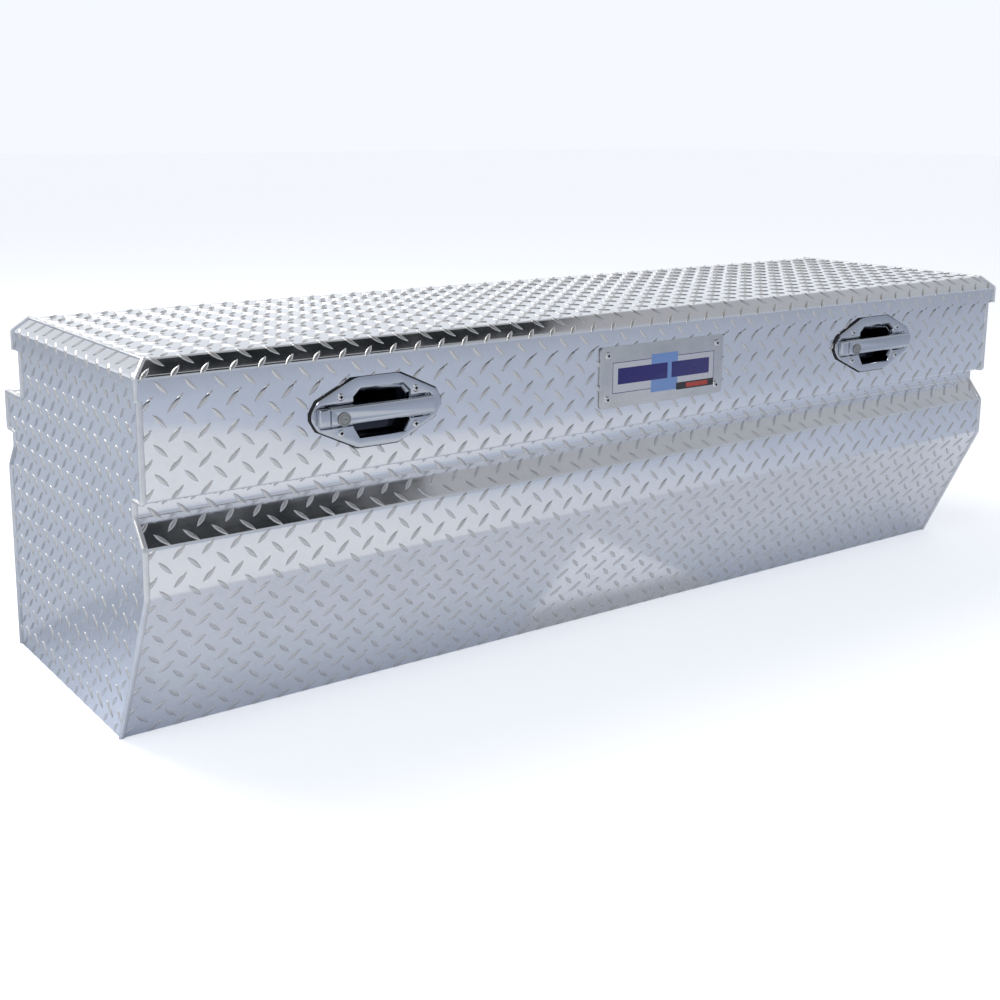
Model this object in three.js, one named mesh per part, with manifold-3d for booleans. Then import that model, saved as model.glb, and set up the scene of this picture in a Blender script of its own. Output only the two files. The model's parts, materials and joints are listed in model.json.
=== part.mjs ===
// Truck tool box: a welded tread-plate body with a hinged lid on two gas struts, two locking pull
// handles with slam latches, and a riveted nameplate. Millimetres, +Z up, the front faces -Y.
// The origin is under the middle of the box, at floor level.
import * as THREE from 'three';
import { mergeVertices } from 'three/addons/utils/BufferGeometryUtils.js';
import { ConvexGeometry } from 'three/addons/geometries/ConvexGeometry.js';
import Module from 'manifold-3d';

const wasm = await Module();
wasm.setup();

// ---- Driving dimensions -------------------------------------------------------------------
const gap = 0.3; // between pieces that touch
const sheet = 2; // tread plate
const bodyLength = 1550;
const bodyDepth = 480; // front face to rear face
const handleReach = 16.8; // lock face in front of the front wall

const body = {
  wedgeSetback: 100, // how far the foot of the front wall is set back
  wedgeTop: 205,
  slantBottom: 264,
  slantTop: 296,
  grooveTop: 317,
  grooveDepth: 26,
  ledgeTop: 370,
  upperDepth: 410, // front face to the upper rear wall
  wallTop: 458,
};
const rim = { width: 27, rearWidth: 11, thickness: 2, lip: 10 };
const lid = {
  overhangEnds: 6,
  overhangFront: 8,
  overhangRear: 10,
  bottom: 436,
  top: 480,
  bevel: 18,
};
const seal = { width: 10, inset: 5 };
const stiffener = { spacing: 300, count: 3, halfWidth: 30, webHalfWidth: 14, foot: 18, drop: 12.5 };
const hinge = { y: 414.3, z: 431.8, knuckleRadius: 3.7, boreRadius: 2.35, pinRadius: 2 };
const hingeLeaf = { length: 1500, knuckles: 20, thickness: 1.6, bodyReach: 36, lidReach: 25 };
const strut = {
  x: 730,
  bodyPivot: [180, 400],
  lidPivot: [372, 455],
  tubeRadius: 11,
  tubeLength: 150,
  rodRadius: 5,
  rodStart: 75,
  eyeRadius: 8,
  eyeWidth: 8,
  studRadius: 4,
};
const handle = { x: 469, z: 391 };
const bezel = { front: -5.1, thickness: 3, cupDepth: 26, cupWall: 1.5 };
const gasket = { thickness: 1.5, border: 1.5 };
const pull = { left: -71.6, right: 76.4, front: -15, back: -7, bottom: -13.1, top: 11, chamfer: 3 };
const endCap = { left: -86.5, right: -72.4, front: -14 };
const pivot = { x: 71.9, y: 4, pinRadius: 2, boreRadius: 2.3 };
const lock = { x: -54.2, z: -4, faceRadius: 8.9, shaftRadius: 4.8, boreRadius: 5.2, camReach: 10 };
const leg = { left: 52, right: 55, bottom: -10, top: -3, end: 18, footRight: 60, footThickness: 2 };
const bolt = { left: 52, right: 66, bottom: 32.7, top: 45.3, back: 9.5, nose: 31 };
const tail = { left: 56, right: 60, bottom: -12, back: 12.5, thickness: 3 };
const housing = { left: 49.3, right: 68.7, bottom: 30, top: 48, depth: 26, clearance: 0.3 };
const striker = { left: 47, right: 71, front: 32.3, thickness: 3, bottom: 418, foot: 58 };
const bezelScrews = [[-53, 21.2], [-53, -23.4], [54.6, 21.2], [54.6, -24.2]];
const screw = { headRadius: 5, headHeight: 1.8, shankRadius: 2, holeRadius: 2.4, tip: 4 };
const nameplate = { x: 8, z: 391.5, width: 237, height: 88, thickness: 3, corner: 7 };
const rivet = { halfSpanX: 105, halfSpanZ: 31 };

const lidTopInside = lid.top - sheet;
const rimTop = body.wallTop + gap + rim.thickness;
const endWallInside = bodyLength / 2 - sheet;

// ---- Materials ----------------------------------------------------------------------------
function finish(color, roughness, metalness) {
  return () => new THREE.MeshStandardMaterial({ color, roughness, metalness });
}
const treadPlate = finish(0xc9d1dc, 0.28, 1);
const plainAluminium = finish(0xb9bec5, 0.4, 1);
const zincSteel = finish(0xa9aaa6, 0.45, 1);
const chrome = finish(0xd6dae2, 0.08, 1);
const lockSteel = finish(0xa7a399, 0.35, 1);
const blackRubber = finish(0x151515, 0.75, 0);
const blackPaint = finish(0x1b1b1c, 0.4, 0.2);
const brushedPlate = finish(0xc3c9d1, 0.35, 1);

// ---- Solids -------------------------------------------------------------------------------
function toSolid(geometry) {
  const bare = new THREE.BufferGeometry();
  bare.setAttribute('position', geometry.getAttribute('position'));
  bare.setIndex(geometry.index);
  const merged = mergeVertices(bare, 1e-4);
  return new wasm.Manifold(new wasm.Mesh({
    numProp: 3,
    vertProperties: merged.attributes.position.array,
    triVerts: new Uint32Array(merged.index.array),
  }));
}

function toGeometry(solid) {
  const mesh = solid.getMesh();
  const geometry = new THREE.BufferGeometry();
  geometry.setAttribute('position', new THREE.BufferAttribute(mesh.vertProperties, 3));
  geometry.setIndex(new THREE.BufferAttribute(mesh.triVerts, 1));
  geometry.computeVertexNormals();
  return geometry;
}

function join(first, ...others) {
  return toGeometry(others.reduce((whole, other) => whole.add(toSolid(other)), toSolid(first)));
}

function cut(geometry, ...tools) {
  return toGeometry(tools.reduce((rest, tool) => rest.subtract(toSolid(tool)), toSolid(geometry)));
}

function intersect(geometry, tool) {
  return toGeometry(toSolid(geometry).intersect(toSolid(tool)));
}

// ---- Shapes -------------------------------------------------------------------------------
const axisX = new THREE.Vector3(1, 0, 0);
const axisY = new THREE.Vector3(0, 1, 0);
const axisZ = new THREE.Vector3(0, 0, 1);
const outlineYZ = new THREE.Matrix4().makeBasis(axisY, axisZ, axisX);
const outlineXZ = new THREE.Matrix4().makeBasis(axisX, axisZ, axisY.clone().negate());

function polygon(points) {
  return new THREE.Shape(points.map(([u, v]) => new THREE.Vector2(u, v)));
}

function extrude(shape, depth) {
  return new THREE.ExtrudeGeometry(shape, { depth, bevelEnabled: false, curveSegments: 8 });
}

// An outline drawn in Y and Z, extruded from x0 to x1.
function extrudeX(shape, x0, x1) {
  return extrude(shape, x1 - x0).applyMatrix4(outlineYZ).translate(x0, 0, 0);
}

// An outline drawn in X and Z, extruded from y0 to y1.
function extrudeY(shape, y0, y1) {
  return extrude(shape, y1 - y0).applyMatrix4(outlineXZ).translate(0, y1, 0);
}

function extrudeZ(shape, z0, z1) {
  return extrude(shape, z1 - z0).translate(0, 0, z0);
}

function block(x0, x1, y0, y1, z0, z1) {
  return new THREE.BoxGeometry(x1 - x0, y1 - y0, z1 - z0)
    .translate((x0 + x1) / 2, (y0 + y1) / 2, (z0 + z1) / 2);
}

function roundX(radius, x0, x1, y, z, sides = 16) {
  return new THREE.CylinderGeometry(radius, radius, x1 - x0, sides)
    .rotateZ(Math.PI / 2)
    .translate((x0 + x1) / 2, y, z);
}

function roundY(radius, y0, y1, x, z, sides = 16) {
  return new THREE.CylinderGeometry(radius, radius, y1 - y0, sides)
    .translate(x, (y0 + y1) / 2, z);
}

function roundZ(radius, z0, z1, x, y, sides = 16) {
  return new THREE.CylinderGeometry(radius, radius, z1 - z0, sides)
    .rotateX(Math.PI / 2)
    .translate(x, y, (z0 + z1) / 2);
}

function roundRing(u, v, outerRadius, innerRadius) {
  const shape = new THREE.Shape().absarc(u, v, outerRadius, 0, 2 * Math.PI);
  shape.holes.push(new THREE.Path().absarc(u, v, innerRadius, 0, 2 * Math.PI));
  return shape;
}

function rectangle(u0, u1, v0, v1) {
  return [[u0, v0], [u1, v0], [u1, v1], [u0, v1]];
}

function frameShape(outer, inner) {
  const shape = polygon(outer);
  shape.holes.push(new THREE.Path(inner.map(([u, v]) => new THREE.Vector2(u, v))));
  return shape;
}

// A corner moved by a distance to the left of the way the path runs, with its mitre.
function shiftedCorner(before, at, after, distance) {
  const leftOf = (a, b) => {
    const length = Math.hypot(b[0] - a[0], b[1] - a[1]);
    return [(a[1] - b[1]) / length, (b[0] - a[0]) / length];
  };
  const first = before ? leftOf(before, at) : leftOf(at, after);
  const second = after ? leftOf(at, after) : first;
  const scale = distance / (1 + first[0] * second[0] + first[1] * second[1]);
  return [at[0] + scale * (first[0] + second[0]), at[1] + scale * (first[1] + second[1])];
}

// The section of a bent sheet: the path is one face, and the thickness lies on its left.
function bentSheet(path, thickness) {
  const inside = path.map((at, i) => shiftedCorner(path[i - 1], at, path[i + 1], thickness));
  return polygon([...path, ...inside.reverse()]);
}

// A closed anticlockwise outline made larger by a border.
function grown(outline, border) {
  const last = outline.length - 1;
  return outline.map((at, i) =>
    shiftedCorner(outline[i ? i - 1 : last], at, outline[i === last ? 0 : i + 1], -border));
}

// ---- Body ---------------------------------------------------------------------------------
const frontPath = [
  [0, body.wallTop],
  [0, body.grooveTop],
  [body.grooveDepth, body.grooveTop],
  [body.grooveDepth, body.slantTop],
  [0, body.slantBottom],
  [0, body.wedgeTop],
  [body.wedgeSetback, 0],
];
const rearPath = [
  [bodyDepth, 0],
  [bodyDepth, body.slantBottom],
  [bodyDepth - body.grooveDepth, body.slantTop],
  [bodyDepth - body.grooveDepth, body.grooveTop],
  [bodyDepth, body.grooveTop],
  [bodyDepth, body.ledgeTop],
  [body.upperDepth, body.ledgeTop],
  [body.upperDepth, body.wallTop],
];
const panelEnd = endWallInside - gap;

function frontPanel() {
  const panel = extrudeX(bentSheet(frontPath, sheet), -panelEnd, panelEnd);
  const openings = [-handle.x, handle.x].flatMap((x) => [
    extrudeY(polygon(handleCutout), -1, sheet + 1).translate(x, 0, handle.z),
    ...bezelScrews.map(([u, v]) =>
      roundY(screw.holeRadius, -1, sheet + 1, x + u, handle.z + v, 12)),
  ]);
  const rivetHoles = rivetPlaces().map(([x, z]) => roundY(screw.holeRadius, -1, sheet + 1, x, z, 12));
  return cut(panel, ...openings, ...rivetHoles);
}

function floorPanel() {
  const frontEdge = body.wedgeSetback + sheet + 0.5;
  return block(-panelEnd, panelEnd, frontEdge, bodyDepth - sheet - gap, 0, sheet);
}

function rearPanel() {
  return extrudeX(bentSheet(rearPath, sheet), -panelEnd, panelEnd);
}

function endPanel(side) {
  const outside = bodyLength / 2;
  const [x0, x1] = side > 0 ? [endWallInside, outside] : [-outside, -endWallInside];
  return extrudeX(polygon([...frontPath, ...rearPath]), x0, x1);
}

// The turned-in edge round the opening: a flat ring on the walls with a lip that points down.
function openingRim() {
  const half = bodyLength / 2;
  const hole = rectangle(-half + rim.width, half - rim.width, rim.width, body.upperDepth - rim.rearWidth);
  const outer = rectangle(-half, half, 0, body.upperDepth);
  const underside = body.wallTop + gap;
  const plate = extrudeZ(frameShape(outer, hole), underside, rimTop);
  const lip = extrudeZ(frameShape(grown(hole, rim.thickness), hole), underside - rim.lip, rimTop);
  return join(plate, lip);
}

// ---- Lid ----------------------------------------------------------------------------------
const lidHalf = bodyLength / 2 + lid.overhangEnds;
const lidFront = -lid.overhangFront;
const lidRear = body.upperDepth + lid.overhangRear;

function bevelledBlock(halfX, y0, y1, z0, z1, bevel) {
  const ring = (inset, z) => rectangle(-halfX + inset, halfX - inset, y0 + inset, y1 - inset)
    .map(([x, y]) => new THREE.Vector3(x, y, z));
  return new ConvexGeometry([...ring(0, z0), ...ring(0, z1 - bevel), ...ring(bevel, z1)]);
}

function lidTray() {
  const insideBevel = lid.bevel - sheet * (2 - Math.SQRT2);
  return cut(
    bevelledBlock(lidHalf, lidFront, lidRear, lid.bottom, lid.top, lid.bevel),
    bevelledBlock(lidHalf - sheet, lidFront + sheet, lidRear - sheet, lid.bottom - 1, lidTopInside,
      insideBevel),
  );
}

// The region of an end cap: outside the mitre lines of the lid's two corners at that end.
function endRegion(side, shift) {
  const far = 2 * lid.bevel;
  const edge = lidHalf - lid.bevel + shift;
  const outline = [
    [side * edge, lidFront + lid.bevel],
    [side * (edge + far), lidFront + lid.bevel - far],
    [side * (edge + far), lidRear - lid.bevel + far],
    [side * edge, lidRear - lid.bevel],
  ];
  return extrudeZ(polygon(outline), lid.bottom - 1, lid.top + 1);
}

function lidSkin() {
  return cut(lidTray(), endRegion(1, -gap / 2), endRegion(-1, -gap / 2));
}

function lidEndCap(side) {
  return intersect(lidTray(), endRegion(side, gap / 2));
}

function lidSeal() {
  const outer = rectangle(
    -lidHalf + lid.bevel + 2,
    lidHalf - lid.bevel - 2,
    lidFront + lid.bevel + 1.2,
    lidRear - lid.bevel - 1.2,
  );
  return extrudeZ(frameShape(outer, grown(outer, -seal.width)), rimTop + gap, lidTopInside - gap);
}

function lidStiffener() {
  const top = lidTopInside - gap;
  const web = top - stiffener.drop;
  const path = [
    [stiffener.halfWidth, top],
    [stiffener.foot, top],
    [stiffener.webHalfWidth, web],
    [-stiffener.webHalfWidth, web],
    [-stiffener.foot, top],
    [-stiffener.halfWidth, top],
  ];
  return extrudeY(bentSheet(path, 1.6), 45, body.upperDepth - 45);
}

// ---- Hinge --------------------------------------------------------------------------------
// Knuckles alternate between the two leaves; index 0 belongs to the leaf on the body.
function hingeLeafGeometry(plate, first, notch) {
  const pitch = hingeLeaf.length / hingeLeaf.knuckles;
  const pieces = [];
  const notches = [];
  for (let i = 0; i < hingeLeaf.knuckles; i++) {
    const x0 = -hingeLeaf.length / 2 + i * pitch;
    if (i % 2 === first) {
      const ring = roundRing(hinge.y, hinge.z, hinge.knuckleRadius, hinge.boreRadius);
      pieces.push(extrudeX(ring, x0 + gap, x0 + pitch - gap));
    } else {
      notches.push(block(x0 - gap, x0 + pitch + gap, hinge.y - 6, hinge.y + 6, ...notch));
    }
  }
  const half = hingeLeaf.length / 2;
  const bore = roundX(hinge.boreRadius, -half, half, hinge.y, hinge.z);
  return join(cut(plate, ...notches, bore), ...pieces);
}

function hingeLeafBody() {
  const face = body.upperDepth + gap;
  const half = hingeLeaf.length / 2 - gap;
  const plate = block(-half, half, face, face + hingeLeaf.thickness, hinge.z - hingeLeaf.bodyReach, hinge.z);
  return hingeLeafGeometry(plate, 0, [hinge.z - hinge.knuckleRadius - 1, hinge.z + 1]);
}

function hingeLeafLid() {
  const face = lidRear - sheet - gap;
  const half = hingeLeaf.length / 2 - gap;
  const plate = block(-half, half, face - hingeLeaf.thickness, face, hinge.z, hinge.z + hingeLeaf.lidReach);
  return hingeLeafGeometry(plate, 1, [hinge.z - 1, hinge.z + hinge.knuckleRadius + 1]);
}

function hingePin() {
  const half = hingeLeaf.length / 2 + 1;
  return roundX(hinge.pinRadius, -half, half, hinge.y, hinge.z, 12);
}

// ---- Gas struts ---------------------------------------------------------------------------
const strutSpan = strut.lidPivot.map((value, i) => value - strut.bodyPivot[i]);
const strutLength = Math.hypot(...strutSpan);
const strutTilt = Math.atan2(strutSpan[1], strutSpan[0]);

function turned(points) {
  return new THREE.LatheGeometry(points.map(([r, y]) => new THREE.Vector2(r, y)), 20);
}

// Both strut pieces are drawn along +Y from the pivot on the body.
function strutEye(y) {
  const half = strut.eyeWidth / 2;
  return extrudeX(roundRing(y, 0, strut.eyeRadius, strut.studRadius + gap), -half, half);
}

function strutTube() {
  const neck = strut.eyeRadius - 2;
  const bore = strut.rodRadius + gap;
  const outside = [[0, neck], [strut.tubeRadius, neck + 2], [strut.tubeRadius, strut.tubeLength]];
  const inside = [[bore, strut.tubeLength], [bore, neck + 6], [0, neck + 6]];
  return join(turned([...outside, ...inside]), strutEye(0));
}

function strutRod() {
  const neck = strutLength - strut.eyeRadius + 2;
  const shaft = [[0, strut.rodStart], [strut.rodRadius, strut.rodStart], [strut.rodRadius, neck], [0, neck]];
  return join(turned(shaft), strutEye(strutLength));
}

function strutBracketBody(side) {
  const [y, z] = strut.bodyPivot;
  const wall = endWallInside - gap;
  const plate = block(wall - 3, wall, y - 22, y + 22, z - 20, z + 20);
  const stud = roundX(strut.studRadius, strut.x - strut.eyeWidth / 2 - 2, wall - 1, y, z);
  const spacer = roundX(strut.studRadius + 3, strut.x + strut.eyeWidth / 2 + 1, wall - 1, y, z);
  return mirroredX(join(plate, stud, spacer), side);
}

// The stud stops beside the rod's eye, so the eye can pass it as the lid swings.
function strutBracketLid(side) {
  const [y, z] = strut.lidPivot;
  const top = lidTopInside - gap;
  const eyeFace = strut.x + strut.eyeWidth / 2;
  const foot = block(eyeFace - 10, eyeFace + 13.5, y - 20, y + 12, top - 2, top);
  const plate = block(eyeFace + 7, eyeFace + 10, y - 8, y + 8, z - 8, top - 1);
  const stud = roundX(strut.studRadius, eyeFace + 0.6, eyeFace + 8, y, z);
  return mirroredX(join(foot, plate, stud), side);
}

function mirroredX(geometry, side) {
  if (side > 0) return geometry;
  const mirrored = toSolid(geometry).mirror([1, 0, 0]);
  return toGeometry(mirrored);
}

// ---- Handles ------------------------------------------------------------------------------
// Every handle piece is drawn round the handle's centre: X along the box, Z up, Y into the box.
const bezelOutline = [
  [-29, -44.5], [29, -44.5], [85, -18], [93.5, -4], [93.5, 4], [85, 18],
  [29, 44.5], [-29, 44.5], [-85, 18], [-93.5, 4], [-93.5, -4], [-85, -18],
];
const cupOutline = [
  [-27, -33], [40, -33], [47.3, -18], [47.3, 20],
  [37, 30.5], [-25, 30.5], [-36, 20], [-36, -18],
];
// The step at its right end leaves room for the grip's lug, which swings there.
const handleCutout = [
  [-38.5, -35.5], [50, -35.5], [50, -16.5], [77, -16.5], [77, -12.5], [79, -12.5], [79, 0], [77, 0],
  [77, 4.5], [50, 4.5], [50, 33], [-38.5, 33], [-38.5, 5], [-66.5, 5], [-66.5, -16], [-38.5, -16],
];

function screwHoles(y0, y1) {
  return bezelScrews.map(([x, z]) => roundY(screw.holeRadius, y0, y1, x, z, 12));
}

function bezelPlate() {
  const back = bezel.front + bezel.thickness;
  const plate = extrudeY(polygon(bezelOutline), bezel.front, back);
  const cup = extrudeY(polygon(grown(cupOutline, bezel.cupWall)), back - 1, bezel.cupDepth);
  const hollow = extrudeY(polygon(cupOutline), bezel.front - 1, bezel.cupDepth - bezel.cupWall);
  const ears = [[-15.5, -11.5], [-1, 3]].map(([z0, z1]) =>
    block(pivot.x - 4, pivot.x + 4, back - 1, pivot.y + 4, z0, z1));
  const lugSlot = block(pivot.x - 5, pivot.x + 8.5, bezel.front - 1, back + 1, -11.5, -1);
  const legSlot = block(49.5, 58.5, bezel.front - 1, back + 1, leg.bottom - 1, leg.top + 1);
  const lockHole = roundY(6.4, bezel.front - 1, back + 1, lock.x, lock.z);
  const camSlot = block(lock.x - 3.7, lock.x + 3.7, bezel.front - 1, back + 1, lock.z - 12, lock.z);
  const pinBore = roundZ(pivot.boreRadius, -20, 6, pivot.x, pivot.y);
  return cut(
    join(plate, cup, ...ears),
    hollow, lugSlot, legSlot, lockHole, camSlot, pinBore, ...screwHoles(bezel.front - 1, back + 1),
  );
}

function bezelGasket() {
  const ring = frameShape(grown(bezelOutline, gasket.border), handleCutout);
  return cut(extrudeY(ring, -gasket.thickness - gap, -gap), ...screwHoles(-3, 1));
}

function barSection(front, back, inset) {
  return polygon([
    [back, pull.bottom + inset],
    [front + pull.chamfer, pull.bottom + inset],
    [front, pull.bottom + inset + pull.chamfer],
    [front, pull.top - inset - pull.chamfer],
    [front + pull.chamfer, pull.top - inset],
    [back, pull.top - inset],
  ]);
}

// The grip, the lug that turns on the pivot pin and the leg that draws the latch bolt.
function pullBar() {
  const grip = extrudeX(barSection(pull.front, pull.back, 0), pull.left, pull.right);
  const lug = block(pivot.x - 3.5, pivot.x + 3.5, pull.back - 1, pivot.y + 4, -11, -1.5);
  const shank = block(leg.left, leg.right, pull.back - 1, leg.end, leg.bottom, leg.top);
  const foot = block(leg.left, leg.footRight, leg.end - leg.footThickness, leg.end, leg.bottom, leg.top);
  return cut(
    join(grip, lug, shank, foot),
    roundZ(pivot.boreRadius, -20, 6, pivot.x, pivot.y),
    roundY(lock.boreRadius, pull.front - 1, pull.back + 1, lock.x, lock.z),
  );
}

function handleEndCap() {
  return extrudeX(barSection(endCap.front, bezel.front - gap, 0.8), endCap.left, endCap.right);
}

function pivotPin() {
  return roundZ(pivot.pinRadius, -15.2, 2.7, pivot.x, pivot.y);
}

const plugBack = bezel.front + bezel.thickness + 0.2;

function lockPlug() {
  const face = -handleReach;
  return join(
    roundY(lock.faceRadius, face, pull.front - gap, lock.x, lock.z, 24),
    roundY(lock.shaftRadius, pull.front - 1, plugBack, lock.x, lock.z),
  );
}

function lockCam() {
  const front = plugBack + gap;
  return block(lock.x - 3, lock.x + 3, front, front + 2.5, lock.z - lock.camReach, lock.z + 4);
}

function latchHousing() {
  const outside = block(housing.left, housing.right, sheet + gap, housing.depth, housing.bottom, housing.top);
  const slack = housing.clearance;
  const tunnel = block(bolt.left - slack, bolt.right + slack, sheet, housing.depth + 1,
    bolt.bottom - slack, bolt.top + slack);
  const tailSlot = block(tail.left - 1, tail.right + 1, sheet, tail.back + tail.thickness + 1,
    housing.bottom - 1, bolt.bottom + 1);
  return cut(outside, tunnel, tailSlot);
}

// The bolt's nose is bevelled on top so that the striker can push it back as the lid shuts.
function latchBolt() {
  const nose = polygon([
    [bolt.back, bolt.bottom],
    [bolt.nose, bolt.bottom],
    [bolt.nose, bolt.bottom + 4.3],
    [bolt.nose - 8, bolt.top],
    [bolt.back, bolt.top],
  ]);
  const arm = block(tail.left, tail.right, tail.back, tail.back + tail.thickness, tail.bottom, bolt.bottom + 1);
  return join(extrudeX(nose, bolt.left, bolt.right), arm);
}

// The striker hangs from the lid, and its window stands behind the bolt's nose.
function latchStriker() {
  const top = lidTopInside - gap - handle.z;
  const back = striker.front + striker.thickness;
  const bottom = striker.bottom - handle.z;
  const plate = block(striker.left, striker.right, striker.front, back, bottom, top);
  const foot = block(striker.left, striker.right, striker.front, striker.foot, top - 2, top);
  const window = block(bolt.left - 0.5, bolt.right + 0.5, striker.front - 1, back + 1,
    bolt.bottom - 1, bolt.top + 1.5);
  return cut(join(plate, foot), window);
}

// ---- Fasteners and nameplate --------------------------------------------------------------
// A round-headed fastener with its head's underside at y = 0, its head towards -Y.
function fastener(shankLength) {
  const { headRadius, headHeight, shankRadius } = screw;
  return turned([
    [0, -headHeight],
    [headRadius * 0.55, -headHeight],
    [headRadius * 0.9, -headHeight * 0.55],
    [headRadius, 0],
    [shankRadius, 0],
    [shankRadius, shankLength],
    [0, shankLength],
  ]);
}

function rivetPlaces() {
  return [-1, 1].flatMap((u) => [-1, 1].map((v) =>
    [nameplate.x + u * rivet.halfSpanX, nameplate.z + v * rivet.halfSpanZ]));
}

function nameplatePlate() {
  const { width, height, corner, thickness } = nameplate;
  const [w, h] = [width / 2, height / 2];
  const outline = new THREE.Shape()
    .moveTo(-w + corner, -h)
    .lineTo(w - corner, -h)
    .absarc(w - corner, -h + corner, corner, -Math.PI / 2, 0)
    .lineTo(w, h - corner)
    .absarc(w - corner, h - corner, corner, 0, Math.PI / 2)
    .lineTo(-w + corner, h)
    .absarc(-w + corner, h - corner, corner, Math.PI / 2, Math.PI)
    .lineTo(-w, -h + corner)
    .absarc(-w + corner, -h + corner, corner, Math.PI, 1.5 * Math.PI);
  const plate = extrudeY(outline, -thickness - gap, -gap).translate(nameplate.x, 0, nameplate.z);
  return cut(plate, ...rivetPlaces().map(([x, z]) => roundY(screw.holeRadius, -thickness - 1, 1, x, z, 12)));
}

// ---- Assembly -----------------------------------------------------------------------------
const toolBox = new THREE.Group();
const shell = new THREE.Group(); // Y counts from the front wall inside this group
shell.position.y = -(bodyDepth - handleReach) / 2;
toolBox.add(shell);

function add(parent, name, geometry, material) {
  const mesh = new THREE.Mesh(geometry, material());
  mesh.name = name;
  parent.add(mesh);
  return mesh;
}

const sides = [['left', -1], ['right', 1]];

add(shell, 'front_panel', frontPanel(), treadPlate);
add(shell, 'floor_panel', floorPanel(), treadPlate);
add(shell, 'rear_panel', rearPanel(), treadPlate);
add(shell, 'opening_rim', openingRim(), plainAluminium);
add(shell, 'lid_skin', lidSkin(), treadPlate);
add(shell, 'lid_seal', lidSeal(), blackRubber);
add(shell, 'hinge_leaf_body', hingeLeafBody(), plainAluminium);
add(shell, 'hinge_leaf_lid', hingeLeafLid(), plainAluminium);
add(shell, 'hinge_pin', hingePin(), zincSteel);

for (let i = 0; i < stiffener.count; i++) {
  const place = (i - (stiffener.count - 1) / 2) * stiffener.spacing;
  add(shell, `lid_stiffener_${i + 1}`, lidStiffener(), plainAluminium).position.x = place;
}

for (const [name, side] of sides) {
  add(shell, `end_panel_${name}`, endPanel(side), treadPlate);
  add(shell, `lid_end_cap_${name}`, lidEndCap(side), treadPlate);
  add(shell, `strut_bracket_body_${name}`, strutBracketBody(side), zincSteel);
  add(shell, `strut_bracket_lid_${name}`, strutBracketLid(side), zincSteel);

  const gasStrut = new THREE.Group();
  gasStrut.position.set(side * strut.x, ...strut.bodyPivot);
  gasStrut.rotation.x = strutTilt;
  shell.add(gasStrut);
  add(gasStrut, `strut_tube_${name}`, strutTube(), blackPaint);
  add(gasStrut, `strut_rod_${name}`, strutRod(), chrome);

  const unit = new THREE.Group();
  unit.position.set(side * handle.x, 0, handle.z);
  shell.add(unit);
  add(unit, `handle_gasket_${name}`, bezelGasket(), blackRubber);
  add(unit, `handle_bezel_${name}`, bezelPlate(), chrome);
  add(unit, `handle_end_cap_${name}`, handleEndCap(), chrome);
  add(unit, `pull_bar_${name}`, pullBar(), chrome);
  add(unit, `handle_pivot_pin_${name}`, pivotPin(), zincSteel);
  add(unit, `lock_plug_${name}`, lockPlug(), lockSteel);
  add(unit, `lock_cam_${name}`, lockCam(), zincSteel);
  add(unit, `latch_housing_${name}`, latchHousing(), zincSteel);
  add(unit, `latch_bolt_${name}`, latchBolt(), zincSteel);
  add(unit, `latch_striker_${name}`, latchStriker(), zincSteel);
  bezelScrews.forEach(([x, z], i) => {
    const geometry = fastener(screw.tip - bezel.front);
    add(unit, `bezel_screw_${name}_${i + 1}`, geometry, lockSteel).position.set(x, bezel.front - gap, z);
  });
}

add(shell, 'nameplate', nameplatePlate(), brushedPlate);
rivetPlaces().forEach(([x, z], i) => {
  const face = -nameplate.thickness - gap;
  const geometry = fastener(screw.tip - face);
  add(shell, `nameplate_rivet_${i + 1}`, geometry, lockSteel).position.set(x, face - gap, z);
});

export default toolBox;
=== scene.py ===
"""The looks of an aluminium truck tool box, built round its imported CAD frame. All sizes are in metres."""

import json
import logging
import math
from collections.abc import Callable, Iterator, Sequence
from contextlib import contextmanager
from dataclasses import dataclass, field
from enum import Enum

import bmesh
import bpy
import numpy as np
from mathutils import Matrix, Vector

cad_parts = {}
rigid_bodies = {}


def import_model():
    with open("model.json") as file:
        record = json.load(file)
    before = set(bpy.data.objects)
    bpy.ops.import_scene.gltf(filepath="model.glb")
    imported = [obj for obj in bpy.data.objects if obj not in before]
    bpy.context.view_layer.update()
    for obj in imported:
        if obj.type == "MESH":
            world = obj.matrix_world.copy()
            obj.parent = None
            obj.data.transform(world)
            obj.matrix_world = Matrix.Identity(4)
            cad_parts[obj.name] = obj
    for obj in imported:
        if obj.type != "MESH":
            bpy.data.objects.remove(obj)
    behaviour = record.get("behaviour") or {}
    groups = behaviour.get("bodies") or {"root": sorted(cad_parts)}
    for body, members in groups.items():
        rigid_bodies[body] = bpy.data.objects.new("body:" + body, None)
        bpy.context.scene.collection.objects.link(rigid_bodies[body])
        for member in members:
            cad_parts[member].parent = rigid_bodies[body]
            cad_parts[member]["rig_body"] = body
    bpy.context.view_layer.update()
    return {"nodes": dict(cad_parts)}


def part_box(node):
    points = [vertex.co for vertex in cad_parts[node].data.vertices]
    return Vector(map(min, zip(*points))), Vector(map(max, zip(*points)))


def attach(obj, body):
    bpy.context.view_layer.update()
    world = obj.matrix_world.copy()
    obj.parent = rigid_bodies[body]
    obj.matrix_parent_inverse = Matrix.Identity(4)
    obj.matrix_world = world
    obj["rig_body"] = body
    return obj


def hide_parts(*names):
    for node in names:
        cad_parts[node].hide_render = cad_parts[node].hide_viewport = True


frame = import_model()
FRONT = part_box("front_panel")[0].y  # the front face of the upper front wall
MM = 0.001
RAISED = "raised"  # the attribute that is 1 on the lugs of the tread plate
SIDES = ("left", "right")
CLOSE = 1e-6  # points nearer to each other than this are one point
FLAT = math.radians(0.5)  # faces that meet at less than this angle become one
TREAD_SMOOTH = 38  # the greatest angle in degrees that is shaded smooth on tread plate
WELD_SMOOTH = 60
STRUT_SMOOTH = 40
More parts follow.
